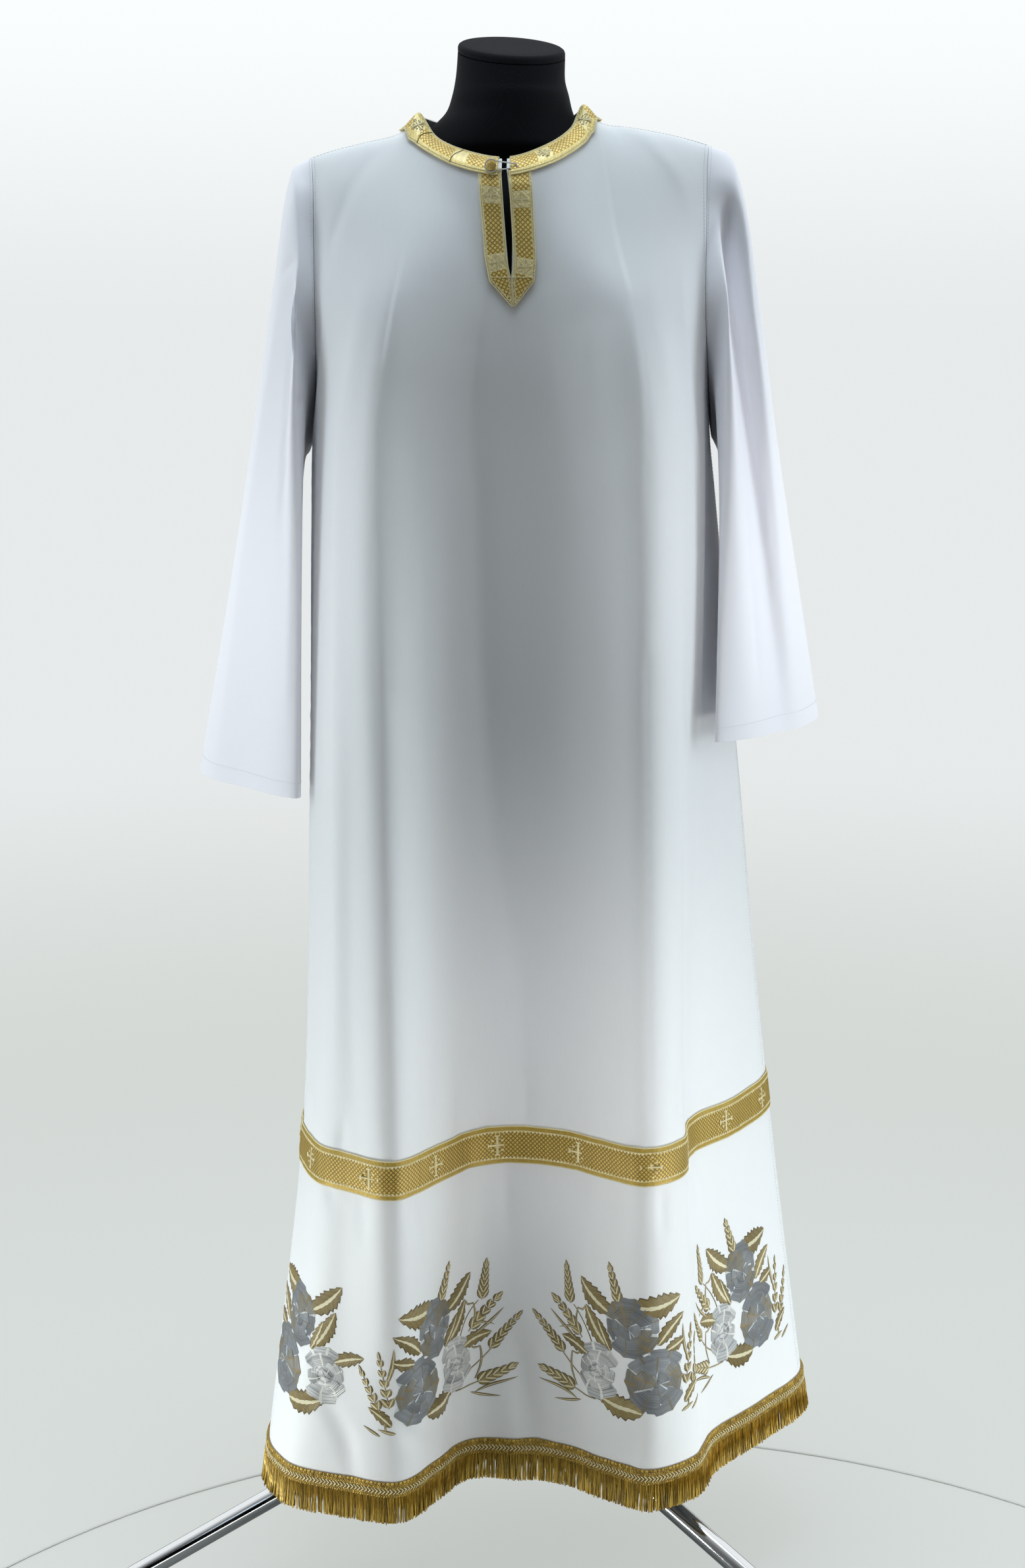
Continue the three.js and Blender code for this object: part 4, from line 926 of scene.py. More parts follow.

# ---------------------------------------------------------------- seams and turned hems
# The shoulders, sides and armholes are closed with a lockstitched seam pressed open, and the cuffs are turned
# and topstitched, in white polyester thread, stitches a little under 3 mm long. The hem and the slit are
# turned and topstitched too, but those stitches are not drawn.
def growth_tree(name, inputs):
    """Geometry Nodes that start from guide lines. Returns the tree, its input sockets and the curves."""
    tree = bpy.data.node_groups.new(name, "GeometryNodeTree")
    for label, kind in (("Geometry", "Geometry"), *inputs, ("Finish", "Material")):
        tree.interface.new_socket(label, in_out="INPUT", socket_type=f"NodeSocket{kind}")
    tree.interface.new_socket("Geometry", in_out="OUTPUT", socket_type="NodeSocketGeometry")
    given = tree.nodes.new("NodeGroupInput").outputs
    return tree, given, add_node(tree, "GeometryNodeMeshToCurve",
                                 {"Mesh": given["Geometry"]}).outputs["Curve"]


def put_out(tree, made, finish):
    """Ends a tree: what it made turns into plain geometry with its finish."""
    real = add_node(tree, "GeometryNodeRealizeInstances", {"Geometry": made})
    dressed = add_node(tree, "GeometryNodeSetMaterial",
                       {"Geometry": real.outputs["Geometry"], "Material": finish})
    feed(tree, tree.nodes.new("NodeGroupOutput"), {"Geometry": dressed.outputs["Geometry"]})
    return tree


def row_tree():
    """Geometry Nodes that set a small piece along each guide line: X along the line, Z out of the cloth."""
    tree, given, curve = growth_tree("set_along_a_line", (("Piece", "Object"), ("Spacing", "Float"),
                                                          ("Uneven", "Float"), ("Seed", "Int")))
    spots = add_node(tree, "GeometryNodeResampleCurve", {"Curve": curve, "Length": given["Spacing"]},
                     mode="LENGTH")
    out = add_node(tree, "GeometryNodeInputNamedAttribute", {"Name": "out"}, data_type="FLOAT_VECTOR")
    along = add_node(tree, "GeometryNodeInputTangent")
    facing = add_node(tree, "FunctionNodeAxesToRotation", {"Primary Axis": out.outputs["Attribute"],
                                                           "Secondary Axis": along.outputs["Tangent"]},
                      primary_axis="Z", secondary_axis="X")
    less = maths(tree, "MULTIPLY", given["Uneven"], -1.0)
    tilt = add_node(tree, "FunctionNodeRandomValue",
                    {"Min": less, "Max": given["Uneven"], "Seed": given["Seed"]}, data_type="FLOAT_VECTOR")
    tilted = add_node(tree, "FunctionNodeEulerToRotation", {"Euler": tilt.outputs["Value"]})
    turn = add_node(tree, "FunctionNodeRotateRotation", {"Rotation": facing.outputs["Rotation"],
                                                         "Rotate By": tilted.outputs["Rotation"]},
                    rotation_space="LOCAL")
    shrink = maths(tree, "SUBTRACT", 1.0, given["Uneven"])
    size = add_node(tree, "FunctionNodeRandomValue", {"Min": shrink, "Max": 1.0, "Seed": given["Seed"]},
                    data_type="FLOAT")
    copy = add_node(tree, "GeometryNodeObjectInfo", {"Object": given["Piece"]})
    placed = add_node(tree, "GeometryNodeInstanceOnPoints", {
        "Points": spots.outputs["Curve"], "Instance": copy.outputs["Geometry"],
        "Rotation": turn.outputs["Rotation"], "Scale": size.outputs["Value"]})
    return put_out(tree, placed.outputs["Instances"], given["Finish"])


def cord_tree():
    """Geometry Nodes that lay a round cord along each guide line."""
    tree, given, curve = growth_tree("cord_along_a_line", (("Radius", "Float"), ("Sides", "Int")))
    section = add_node(tree, "GeometryNodeCurvePrimitiveCircle", {"Resolution": given["Sides"],
                                                                  "Radius": given["Radius"]})
    swept = add_node(tree, "GeometryNodeCurveToMesh",
                     {"Curve": curve, "Profile Curve": section.outputs["Curve"], "Fill Caps": True})
    return put_out(tree, swept.outputs["Mesh"], given["Finish"])


ROW_TREE = row_tree()
CORD_TREE = cord_tree()


def guide(name, lines):
    """A mesh of open lines in mm, each point with its outward direction, for the trees above."""
    points, outs, edges = [], [], []
    for at, out in lines:
        edges += [(len(points) + k, len(points) + k + 1) for k in range(len(at) - 1)]
        points += [tuple(p) for p in np.asarray(at) * MM + ORIGIN]
        outs.append(np.asarray(out))
    mesh = bpy.data.meshes.new(name)
    mesh.from_pydata(points, edges, [])
    layer = mesh.attributes.new("out", "FLOAT_VECTOR", "POINT")
    layer.data.foreach_set("vector", np.concatenate(outs).astype(np.float32).ravel())
    made = bpy.data.objects.new(name, mesh)
    bpy.context.scene.collection.objects.link(made)
    return made


def grown(name, lines, tree, values, finish):
    """The plain mesh that a tree makes on guide lines, riding on the whole."""
    made = guide(name, lines)
    growth = made.modifiers.new("growth", "NODES")
    growth.node_group = tree
    sockets = {s.name: s.identifier for s in tree.interface.items_tree if s.in_out == "INPUT"}
    for label, value in {**values, "Finish": finish}.items():
        growth[sockets[label]] = value
    bpy.context.view_layer.update()
    mesh = bpy.data.meshes.new_from_object(made.evaluated_get(bpy.context.evaluated_depsgraph_get()))
    made.modifiers.remove(growth)
    made.data = mesh
    mesh.shade_smooth()
    mesh.set_sharp_from_angle(angle=math.radians(40))
    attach(made, "root")
    return made


def row_of(name, lines, small, spacing, uneven, seed, finish):
    """Small pieces set along guide lines, spacing mm apart, each a little uneven in size and turn."""
    values = {"Piece": small, "Spacing": spacing * MM, "Uneven": uneven, "Seed": seed}
    return grown(name, lines, ROW_TREE, values, finish)


def cord_of(name, lines, radius, finish, sides=6):
    """A round cord along each guide line, its radius in mm."""
    return grown(name, lines, CORD_TREE, {"Radius": radius * MM, "Sides": sides}, finish)


def along_cloth(panel, u, v, lift):
    """A guide line on a panel: its points moved out by lift, and the outward directions."""
    return on_cloth(panel, u, v, lift), on_cloth(panel, u, v, field="out")


def template(name, points, faces):
    """A small piece to be set many times, in mm, kept out of the picture."""
    mesh = bpy.data.meshes.new(name)
    mesh.from_pydata([tuple(np.array(p) * MM) for p in points], [], faces)
    made = bpy.data.objects.new(name, mesh)
    bpy.context.scene.collection.objects.link(made)
    made.hide_render = True
    return made


def pad(outline, height, sink=0.15, ease=0.55):
    """Points and faces of a flat little pad: outline in mm, raised in the middle, with rounded shoulders."""
    ring = np.array(outline, float)
    middle = ring.mean(0)
    inner = middle + (ring - middle) * ease
    n = len(ring)
    points = ([(x, y, -sink) for x, y in ring] + [(x, y, height * 0.6) for x, y in ring]
              + [(x, y, height) for x, y in inner])
    faces = [list(range(n))[::-1], list(range(2 * n, 3 * n))]
    for k in range(n):
        m = (k + 1) % n
        faces.append([k, m, n + m, n + k])
        faces.append([n + k, n + m, 2 * n + m, 2 * n + k])
    return points, faces


def oval(length, width, sides=8):
    """An oval outline in mm."""
    return [(length / 2 * math.cos(2 * math.pi * k / sides), width / 2 * math.sin(2 * math.pi * k / sides))
            for k in range(sides)]


WHITE_THREAD = cloth_finish("white_thread", (0.80, 0.80, 0.82), (0.72, 0.72, 0.75), 0.45, 2500.0, 0.3, 0.2,
                            "Object")
STITCH = template("stitch", *pad(oval(2.7, 0.7, 4), 0.34))
every = np.linspace(0, 1, 300)
seam_lines = []
for panel in (front, back):
    low_v, arm_v = LEVEL["hem"] + 4, LEVEL["arm"]
    for edge in (0.16, LAST - 0.16):
        seam_lines.append(along_cloth(panel, edge, low_v + (arm_v - low_v) * every, 0.1))
    for first, end in ((0.1, NECK[0] - 0.7), (NECK[1] + 0.7, LAST - 0.1)):
        seam_lines.append(along_cloth(panel, first + (end - first) * every, LEVEL["top"] - 3.5, 0.1))
    for edge in (0.12, LAST - 0.12):
        seam_lines.append(along_cloth(panel, edge, arm_v + (LEVEL["top"] - 6 - arm_v) * every, 0.1))
for tube in tubes.values():
    for height in (SLEEVE_HEM, tube["v"][-1] - 3):
        line = on_cloth(tube, tube["u"], height, 0.1), on_cloth(tube, tube["u"], height, field="out")
        seam_lines.append([np.concatenate([part, part[:1]]) for part in line])
row_of("seam_stitches", seam_lines, STITCH, 3.8, 0.06, 4, WHITE_THREAD)

# ---------------------------------------------------------------- galloon above the hem
# A 40 mm ribbon woven in gold yarn: corded cream edges, a plain border, a cream toothed line each side, a
# field of small lozenges, and a cross in pale yarn every 88 mm. It is stitched flat on the cloth.
def off_middle(tree, count):
    """How far a running count of repeats is from the middle of its repeat, 0 to 0.5."""
    return maths(tree, "ABSOLUTE", maths(tree, "SUBTRACT", maths(tree, "FRACT", count), 0.5))


def strands(tree, count):
    """A round relief and an own tone for each strand, from a running count of them."""
    rib = maths(tree, "SINE", maths(tree, "MULTIPLY", count, 2 * math.pi))
    own = add_node(tree, "ShaderNodeTexWhiteNoise", {"W": maths(tree, "FLOOR", count)}, noise_dimensions="1D")
    return rib, own.outputs["Value"]


def lozenge_group():
    """A field of woven lozenges, x along and y across: a mask of the lines between them, and their height."""
    made, given, result = group_tree("lozenges", {"Pitch": 0.0034}, ("Line", "Height"))
    split = add_node(made, "ShaderNodeSeparateXYZ", {0: given["Vector"]}).outputs
    sides = [off_middle(made, maths(made, "DIVIDE", maths(made, slant, split["X"], split["Y"]),
                                    given["Pitch"]))
             for slant in ("ADD", "SUBTRACT")]
    line = remap(made, maths(made, "MAXIMUM", *sides), 0.26, 0.42)
    feed(made, result, {"Line": line, "Height": maths(made, "SUBTRACT", 1.0, line)})
    return made


def yarn_group():
    """Metal yarn lying side by side: ribs across x, broken now and then, as a height and a tone."""
    made, given, result = group_tree("metal_yarn", {"Yarns per metre": 1500.0, "Twist": 0.5},
                                     ("Height", "Tone"))
    split = add_node(made, "ShaderNodeSeparateXYZ", {0: given["Vector"]}).outputs
    lean = maths(made, "MULTIPLY_ADD", split["Y"], given["Twist"], split["X"])
    rib, own = strands(made, maths(made, "MULTIPLY", lean, given["Yarns per metre"]))
    patch = add_node(made, "ShaderNodeTexNoise", {"Vector": given["Vector"], "Scale": 260.0, "Detail": 2.0})
    tone = maths(made, "ADD", own, patch.outputs["Fac"])
    feed(made, result, {"Height": rib, "Tone": maths(made, "MULTIPLY", tone, 0.5)})
    return made


LOZENGES = lozenge_group()
YARN = yarn_group()


def yarn_finish(name, light, dark, rough, metal, yarns, twist, relief, coordinates="UV"):
    """Twisted metal or silk yarn: light and dark strands side by side, and each strand its own tone."""
    made, tree, skin = new_finish(name, light, rough, metal)
    yarn = grouped(tree, YARN, coordinates, {"Yarns per metre": yarns, "Twist": twist})
    own = add_node(tree, "ShaderNodeNewGeometry").outputs["Random Per Island"]
    share = remap(tree, maths(tree, "ADD", own, yarn["Tone"]), 0.35, 1.6, kind="LINEAR")
    feed(tree, skin, {"Base Color": two_tone(tree, share, dark, light)})
    bump(tree, skin, yarn["Height"], relief, 0.0002)
    return made


def galloon_finish(name, shades, pitch, field, gap=1.0, block=0.0):
    """The ribbon: lozenges inside field (half width, m), a ribbed border, and a pale ground of half width
    block round each cross, the crosses gap apart. Shades are lozenge, line, border and ground."""
    light, dark, border, ground = shades
    made, tree, skin = new_finish(name, light, 0.42, 0.3)
    place = add_node(tree, "ShaderNodeTexCoord").outputs["UV"]
    split = add_node(tree, "ShaderNodeSeparateXYZ", {0: place}).outputs
    weave = grouped(tree, LOZENGES, "UV", {"Pitch": pitch})
    yarn = grouped(tree, YARN, "UV", {"Yarns per metre": 1300.0, "Twist": 0.0})
    edge = maths(tree, "GREATER_THAN", maths(tree, "ABSOLUTE", split["Y"]), field)
    near = off_middle(tree, maths(tree, "DIVIDE", split["X"], gap))
    inside = maths(tree, "LESS_THAN", near, block / gap)
    crossed = two_tone(tree, inside, two_tone(tree, weave["Line"], light, dark), ground)
    dim = remap(tree, yarn["Tone"], 0.0, 1.0, 0.72, 1.15, "LINEAR")
    shaded = add_node(tree, "ShaderNodeVectorMath", {0: two_tone(tree, edge, crossed, border), "Scale": dim},
                      operation="SCALE")
    feed(tree, skin, {"Base Color": shaded.outputs["Vector"]})
    relief = maths(tree, "MULTIPLY_ADD", yarn["Height"], 0.12, weave["Height"])
    bump(tree, skin, relief, 0.6, 0.0003)
    return made


CREAM = yarn_finish("cream_yarn", (0.88, 0.79, 0.50), (0.64, 0.53, 0.26), 0.45, 0.1, 1600.0, 0.6, 0.4,
                    "Object")


def cross_piece(name, size, arm, flare, height):
    """A cross of satin stitch: its two crossing bars, four end bars and a small square in each corner."""
    points, faces = [], []
    bars = [(0, 0, size, arm), (0, 0, arm, size)]
    for x, y in ((1, 0), (-1, 0), (0, 1), (0, -1)):
        reach = size / 2 - arm * 0.4
        bars.append((x * reach, y * reach, arm * 0.8 if x else flare, flare if x else arm * 0.8))
    corner = size * 0.24
    bars += [(x * corner, y * corner, arm * 1.1, arm * 1.1) for x in (-1, 1) for y in (-1, 1)]
    for k, (x, y, length, width) in enumerate(bars):
        ring = [(x + a * length / 2, y + b * width / 2) for a, b in ((-1, -1), (1, -1), (1, 1), (-1, 1))]
        more, sides = pad(ring, height + 0.02 * k, ease=0.8)
        faces += [[i + len(points) for i in f] for f in sides]
        points += more
    return template(name, points, faces)


def tooth_piece(name, length, reach, height):
    """One tooth of the cream line: a flat triangle with its base along the line, pointing to +Y."""
    outline = [(-length / 2, 0), (length / 2, 0), (length * 0.12, reach), (-length * 0.12, reach)]
    return template(name, *pad(outline, height, ease=0.7))


def turned_lines(lines):
    """The same lines run backwards, which turns the pieces set on them to point the other way."""
    return [(at[::-1], out[::-1]) for at, out in lines]


ONE_A_LINE = 1000              # mm, a spacing longer than the line, so that it gets one piece
UV_START = 40                  # repeats, so that the distances along a ribbon stay above 0


def strip_on(panel, u, rows, lifts):
    """Points and outward directions of a strip on a panel: one row for each height, with its lift."""
    at = np.array([on_cloth(panel, u, v, lift) for v, lift in zip(rows, lifts)])
    return at, np.array([on_cloth(panel, u, v, field="out") for v in rows])


def galloon(name, at, out, style, flip, crosses, replaces):
    """A ribbon with its corded edges, toothed lines and crosses, from its outer points: one row per line
    along it. Crosses are the distances of their middles from the ribbon's start, in mm."""
    rows = len(at)
    reach = np.linalg.norm(np.diff(at, axis=0), axis=2).sum(0)
    middle = distances(at[rows // 2])
    shift = style["gap"] / 2 - (crosses[0] if len(crosses) else 0)
    along = np.repeat(middle[None] + shift + UV_START * style["gap"], rows, 0)
    across = (np.arange(rows) / (rows - 1) - 0.5)[:, None] * reach
    made = cloth_piece(name, at, out, quad_grid(at.shape[1], rows, flip=flip), style["thick"],
                       np.stack([along, across], 2) * MM, style["finish"])
    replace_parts(made, replaces)

    def line(inset, lift):
        """A line at inset mm from each edge, raised by lift: the near one, then the far one."""
        found = []
        for first, step in ((0, 1), (rows - 1, -1)):
            place = first + step * np.minimum(inset / reach, 0.5) * (rows - 1)
            low = np.clip(np.floor(place).astype(int), 0, rows - 2)
            part = (place - low)[:, None]
            column = np.arange(at.shape[1])
            facing = out[low, column] * (1 - part) + out[low + 1, column] * part
            found.append((at[low, column] * (1 - part) + at[low + 1, column] * part + facing * lift, facing))
        return found

    cord_of(f"{name}_edge", line(0.35, -0.25), style["cord"], CREAM)
    inner = line(style["line"], 0.05)
    cord_of(f"{name}_line", inner, 0.4, CREAM)
    inward = []
    for path, facing in inner:
        ahead = path[1] - path[0]
        other = at[rows // 2][0] - path[0]
        points_in = np.dot(np.cross(facing[0], ahead), other) > 0
        inward += [(path, facing)] if points_in else turned_lines([(path, facing)])
    row_of(f"{name}_teeth", inward, style["tooth"], style["teeth"], 0.05, 2, CREAM)
    spots = []
    for far in crosses:
        ends = [[np.interp(far + k, middle, at[rows // 2][:, j]) for j in range(3)] for k in (-0.5, 0.5)]
        facing = [np.interp(far, middle, out[rows // 2][:, j]) for j in range(3)]
        spots.append((np.array(ends), np.array([facing, facing])))
    if spots:
        row_of(f"{name}_crosses", spots, style["cross"], ONE_A_LINE, 0.02, 6, CREAM)


BAND = {"top": 562, "bottom": 522, "lift": 1.8, "first": -20, "clear": 14}
BAND_STYLE = {
    "finish": galloon_finish("hem_galloon", ((0.66, 0.46, 0.105), (0.21, 0.13, 0.016), (0.46, 0.31, 0.05),
                                             (0.5, 0.4, 0.2)), 0.0046, 0.0138),
    "thick": 1.25, "cord": 0.7, "line": 5.2, "teeth": 3.9, "gap": 88.0,
    "tooth": tooth_piece("band_tooth", 3.4, 2.3, 0.45),
    "cross": cross_piece("band_cross", 22.0, 1.7, 4.6, 0.5),
}
for side, panel in (("front", front), ("back", back)):
    lifts = BAND["lift"] - 0.3 * (np.abs(np.linspace(-1, 1, 9)) ** 6)
    at, out = strip_on(panel, panel["u"], np.linspace(BAND["bottom"], BAND["top"], 9), lifts)
    along = distances(at[4])
    first = (along[CENTRE_LINE * CELLS] + BAND["first"]) % BAND_STYLE["gap"]
    start = first if first > BAND["clear"] else first + BAND_STYLE["gap"]
    crosses = np.arange(start, along[-1] - BAND["clear"], BAND_STYLE["gap"])
    galloon(f"band_{side}", at, out, BAND_STYLE, panel["facing"] < 0, crosses, f"hem_band_{side}")

# ---------------------------------------------------------------- galloon round the neck and down the slit
# The same ribbon in a brighter gold round the neckline and 22 mm wide down both sides of the slit, where the
# strips are mitred to a point under its end; the brighter gold is partly its own and partly painted light. It
# is pieced on the wearer's right with two butt joins.
NECK_EDGE = LEVEL["top"] - 1.1
# The brighter gold and the pale ground round the crosses are partly the ribbon's own colour and partly
# painted light, raised to stand in for the front light that the chest lacks.
NECK_STYLE = {
    "finish": galloon_finish("neck_galloon", ((0.90, 0.67, 0.22), (0.40, 0.245, 0.04), (0.88, 0.69, 0.26),
                                              (0.95, 0.79, 0.40)), 0.0050, 0.0088, 0.067, 0.0085),
    "thick": 1.2, "cord": 0.65, "line": 2.3, "teeth": 3.3, "gap": 67.0,
    "tooth": tooth_piece("neck_tooth", 2.5, 1.3, 0.35),
    "cross": cross_piece("neck_cross", 14.0, 1.3, 3.4, 0.45),
}


def neck_strip(panel, first, end, columns):
    """Outer points and directions of a strip between the neckline and the collar points."""
    u = np.linspace(first, end, columns)
    past = np.maximum(np.maximum(NECK[0] - u, u - NECK[1]), 0)
    low = LEVEL["collar"] + (NECK_EDGE - LEVEL["collar"]) * past
    shares = np.linspace(0, 1, 7)
    at, out = strip_on(panel, u, [low + (NECK_EDGE - low) * s for s in shares],
                       [3.3 - 0.35 * abs(2 * s - 1) ** 5 for s in shares])
    return at, out / np.linalg.norm(out, axis=2)[..., None]


for name, panel, first, end, crosses, replaces in (
        ("neck_right", front, NECK[0] - 0.93, CENTRE_LINE - 0.14, [31], "neck_galloon_right"),
        ("neck_left", front, CENTRE_LINE + 0.14, NECK[1] + 0.93, [38, 105], "neck_galloon_left"),
        ("neck_back", back, NECK[0] - 0.93, NECK[1] + 0.93, [64, 131, 198], "neck_galloon_back")):
    at, out = neck_strip(panel, first, end, 150)
    galloon(name, at, out, NECK_STYLE, panel["facing"] < 0, crosses, replaces)


def on_front(x, z, lift=3.3):
    """The point of the front at x and z, moved out by lift, and the outward direction there."""
    x, z = np.broadcast_arrays(np.asarray(x, float), np.asarray(z, float))
    u, v = CENTRE_LINE + (x - 5) / 38, z.copy()
    for _ in range(12):
        p = on_cloth(front, u, v)
        du = (on_cloth(front, u + 0.05, v) - on_cloth(front, u - 0.05, v)) * 10
        dv = (on_cloth(front, u, v + 4) - on_cloth(front, u, v - 4)) / 8
        det = du[..., 0] * dv[..., 2] - du[..., 2] * dv[..., 0]
        wrong_x, wrong_z = x - p[..., 0], z - p[..., 2]
        u = u + (wrong_x * dv[..., 2] - wrong_z * dv[..., 0]) / det
        v = v + (du[..., 0] * wrong_z - du[..., 2] * wrong_x) / det
    out = on_cloth(front, u, v, field="out")
    return on_cloth(front, u, v, lift), out / np.linalg.norm(out, axis=-1)[..., None]


PLACKET = {"width": 22, "top": 1511, "tucked": 14, "corner": 1417, "tip": 1391, "slit": 7, "dip": 1.25}


def slit_at(z):
    """The x of the slit's middle at height z: it hangs a little askew."""
    return PLACKET["slit"] - 8 * (z - PLACKET["tip"]) / (PLACKET["top"] - PLACKET["tip"])


def clear_of_slit(z):
    """How far a strip's inner edge keeps from the slit's middle, on each side."""
    return 0.4 + 3.2 * smooth_between(SLIT["end"] - 14, SLIT["end"] + 20, z)


down = np.linspace(0, 1, 60)
mitre = np.linspace(0, 0.97, 16)[1:]
start = PLACKET["top"] + PLACKET["tucked"]
inner = np.concatenate([start + (SLIT["end"] - start) * down,
                        SLIT["end"] + (PLACKET["tip"] - SLIT["end"]) * mitre])[::-1]
outer = np.concatenate([start + 5 + (PLACKET["corner"] - start - 5) * down,
                        PLACKET["corner"] + (PLACKET["tip"] - PLACKET["corner"]) * mitre])[::-1]
reach = np.concatenate([np.full(len(down), 1.0 * PLACKET["width"]),
                        PLACKET["width"] * (1 - mitre) + 0.8])[::-1]
for name, side, crosses in (("right", -1, [46.5, 113.5]), ("left", 1, [40.5, 107.5])):
    near = slit_at(inner) + side * clear_of_slit(inner)
    far = slit_at(outer) + side * (clear_of_slit(outer) + reach)
    shares = np.linspace(0, 1, 7)[:, None]
    at, out = on_front(near + (far - near) * shares, inner + (outer - inner) * shares)
    at = at - out * (0.3 * np.abs(2 * shares - 1) ** 5)[..., None]
    tucked = smooth_between(PLACKET["top"] - 1, PLACKET["top"] + 8, at[..., 2])
    at = at - out * (PLACKET["dip"] * tucked)[..., None]
    galloon(f"placket_{name}", at, out, NECK_STYLE, side > 0, crosses, f"placket_galloon_{name}")

joins = []
for u in (4.72, 5.9):
    v = np.linspace(LEVEL["collar"] + 2, NECK_EDGE - 2, 8)
    joins.append(along_cloth(front, u + np.linspace(-0.09, 0.09, 8), v, 3.35))
# The two butt joins are real seams, but their cords are near black-brown: painted shade, standing in for the
# shadow in each join.
JOIN_THREAD_AND_SHADE = yarn_finish("join_thread_and_shade", (0.10, 0.07, 0.02), (0.04, 0.025, 0.01), 0.7, 0.0, 1600.0, 0.4, 0.3,
                   "Object")
cord_of("galloon_joins", joins, 0.45, JOIN_THREAD_AND_SHADE)

level = SLIT["end"] - 3
bar = []
for side in (-1, 1):
    x = slit_at(level) + side * np.linspace(0.6, PLACKET["width"] - 1.2, 12)
    bar.append(on_front(x, np.full(12, level), 3.35))
down = np.linspace(PLACKET["tip"] + 2, level, 10)
bar.append(on_front(slit_at(down), down, 3.2))
cord_of("placket_mitre", bar, 0.5, CREAM)

# ---------------------------------------------------------------- button and loop
# A knot button of gold cord on a short shank at the wearer's right of the slit, and a fine white cord loop
# from the other side that goes round it.
BUTTON = {"radius": 5.2, "x": -15, "z": 1527, "flat": 0.82, "turns": 48, "levels": 26}
CORD_LOOP = {"x": 7, "z": 1528, "round_knot": 6.1, "open": 0.75, "end": (2.4, 2.2), "end_half_turn": 1.45}
seat, _ = on_front(BUTTON["x"], BUTTON["z"])
anchor, _ = on_front(CORD_LOOP["x"], CORD_LOOP["z"])
points, faces = [], []
turns, levels = BUTTON["turns"], BUTTON["levels"]
for r in range(levels + 1):
    tall = math.pi * r / levels
    for k in range(turns):
        round_it = 2 * math.pi * k / turns
        weave = 0.5 * sum(abs(math.sin(3 * round_it + way * 3.2 * tall)) for way in (1, -1))
        radius = BUTTON["radius"] * (0.90 + 0.12 * weave * math.sin(tall) ** 0.5)
        points.append((radius * math.sin(tall) * math.cos(round_it),
                       -BUTTON["flat"] * radius * math.cos(tall),
                       radius * math.sin(tall) * math.sin(round_it)))
place = seat + np.array([0, -BUTTON["radius"], 0])
poles = [np.mean(points[:turns], 0), np.mean(points[-turns:], 0)]
points = [tuple((np.array(p) + place) * MM + ORIGIN) for p in [*points[turns:-turns], *poles]]
rings = levels - 1
faces = quad_grid(turns, rings, closed=True)
for k in range(turns):
    n = (k + 1) % turns
    faces.append([n, k, len(points) - 2])
    faces.append([(rings - 1) * turns + k, (rings - 1) * turns + n, len(points) - 1])
KNOT_GOLD = yarn_finish("knot_gold", (0.66, 0.46, 0.12), (0.32, 0.19, 0.03), 0.36, 0.35, 1300.0, 0.8, 0.7,
                        "Object")
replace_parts(piece("closure_knot", points, faces, KNOT_GOLD), "closure_button")

angle = np.linspace(CORD_LOOP["open"], 2 * math.pi - CORD_LOOP["open"], 40)
round_knot = CORD_LOOP["round_knot"] * np.stack([np.cos(angle), np.sin(angle)], 1) + [seat[0], seat[2]]
end = np.linspace(-CORD_LOOP["end_half_turn"], CORD_LOOP["end_half_turn"], 12)
wide, tall = CORD_LOOP["end"]
far_end = np.stack([anchor[0] + 1.0 + wide * np.cos(end), anchor[2] - 1.0 + tall * np.sin(end)], 1)
flat = np.concatenate([round_knot, far_end, round_knot[:1]])
near = smooth_between(seat[0] + 3, anchor[0], flat[:, 0])
loop = np.stack([flat[:, 0], (seat[1] - 4.4) * (1 - near) + (anchor[1] - 1.1) * near, flat[:, 1]], 1)
LOOP_CORD = yarn_finish("white_cord", (0.82, 0.81, 0.76), (0.62, 0.60, 0.54), 0.4, 0.0, 1500.0, 0.7, 0.6,
                        "Object")
cord = cord_of("closure_cord", [(loop, np.tile([0, -1.0, 0], (len(loop), 1)))], 0.75, LOOP_CORD,
               10)
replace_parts(cord, "closure_loop")

# ---------------------------------------------------------------- fringe
# Gold viscose fringe sewn to the hem's edge: a braided heading 18 mm deep with a pale zigzag through it, and
# twisted strands 30 mm long that hang close together in small bunches.
FRINGE = {"top": 206, "bottom": 188, "end": 158, "lift": 2.2}
FRINGE_GOLD = yarn_finish("fringe_gold", (0.70, 0.46, 0.075), (0.17, 0.10, 0.012), 0.36, 0.25, 900.0, 0.7,
                          0.6, "Object")
HEADING_GOLD = yarn_finish("heading_gold", (0.42, 0.27, 0.05), (0.22, 0.13, 0.018), 0.42, 0.25, 900.0, 0.0,
                           0.6)


def strand_piece(length, thick, bends):
    """A hanging strand of three sides, its top at the origin and hanging to -Y, in mm."""
    points, faces = [], []
    steps_down = 5
    for k in range(steps_down + 1):
        s = k / steps_down
        r = thick / 2 * (1.0 + 0.2 * math.sin(s * 9)) * (1 - 0.3 * max(s - 0.7, 0) / 0.3)
        x, z = bends[0] * math.sin(s * 2.6) * s, bends[1] * s * s
        for j in range(3):
            angle = math.pi / 2 + math.pi * 2 / 3 * j + s * 1.2
            points.append((x + r * math.cos(angle), -length * s, z + r * math.sin(angle)))
    for k in range(steps_down):
        for j in range(3):
            n = (j + 1) % 3
            faces.append([k * 3 + j, k * 3 + n, (k + 1) * 3 + n, (k + 1) * 3 + j])
    faces += [[2, 1, 0], [steps_down * 3 + j for j in range(3)]]
    return points, [f[::-1] for f in faces]


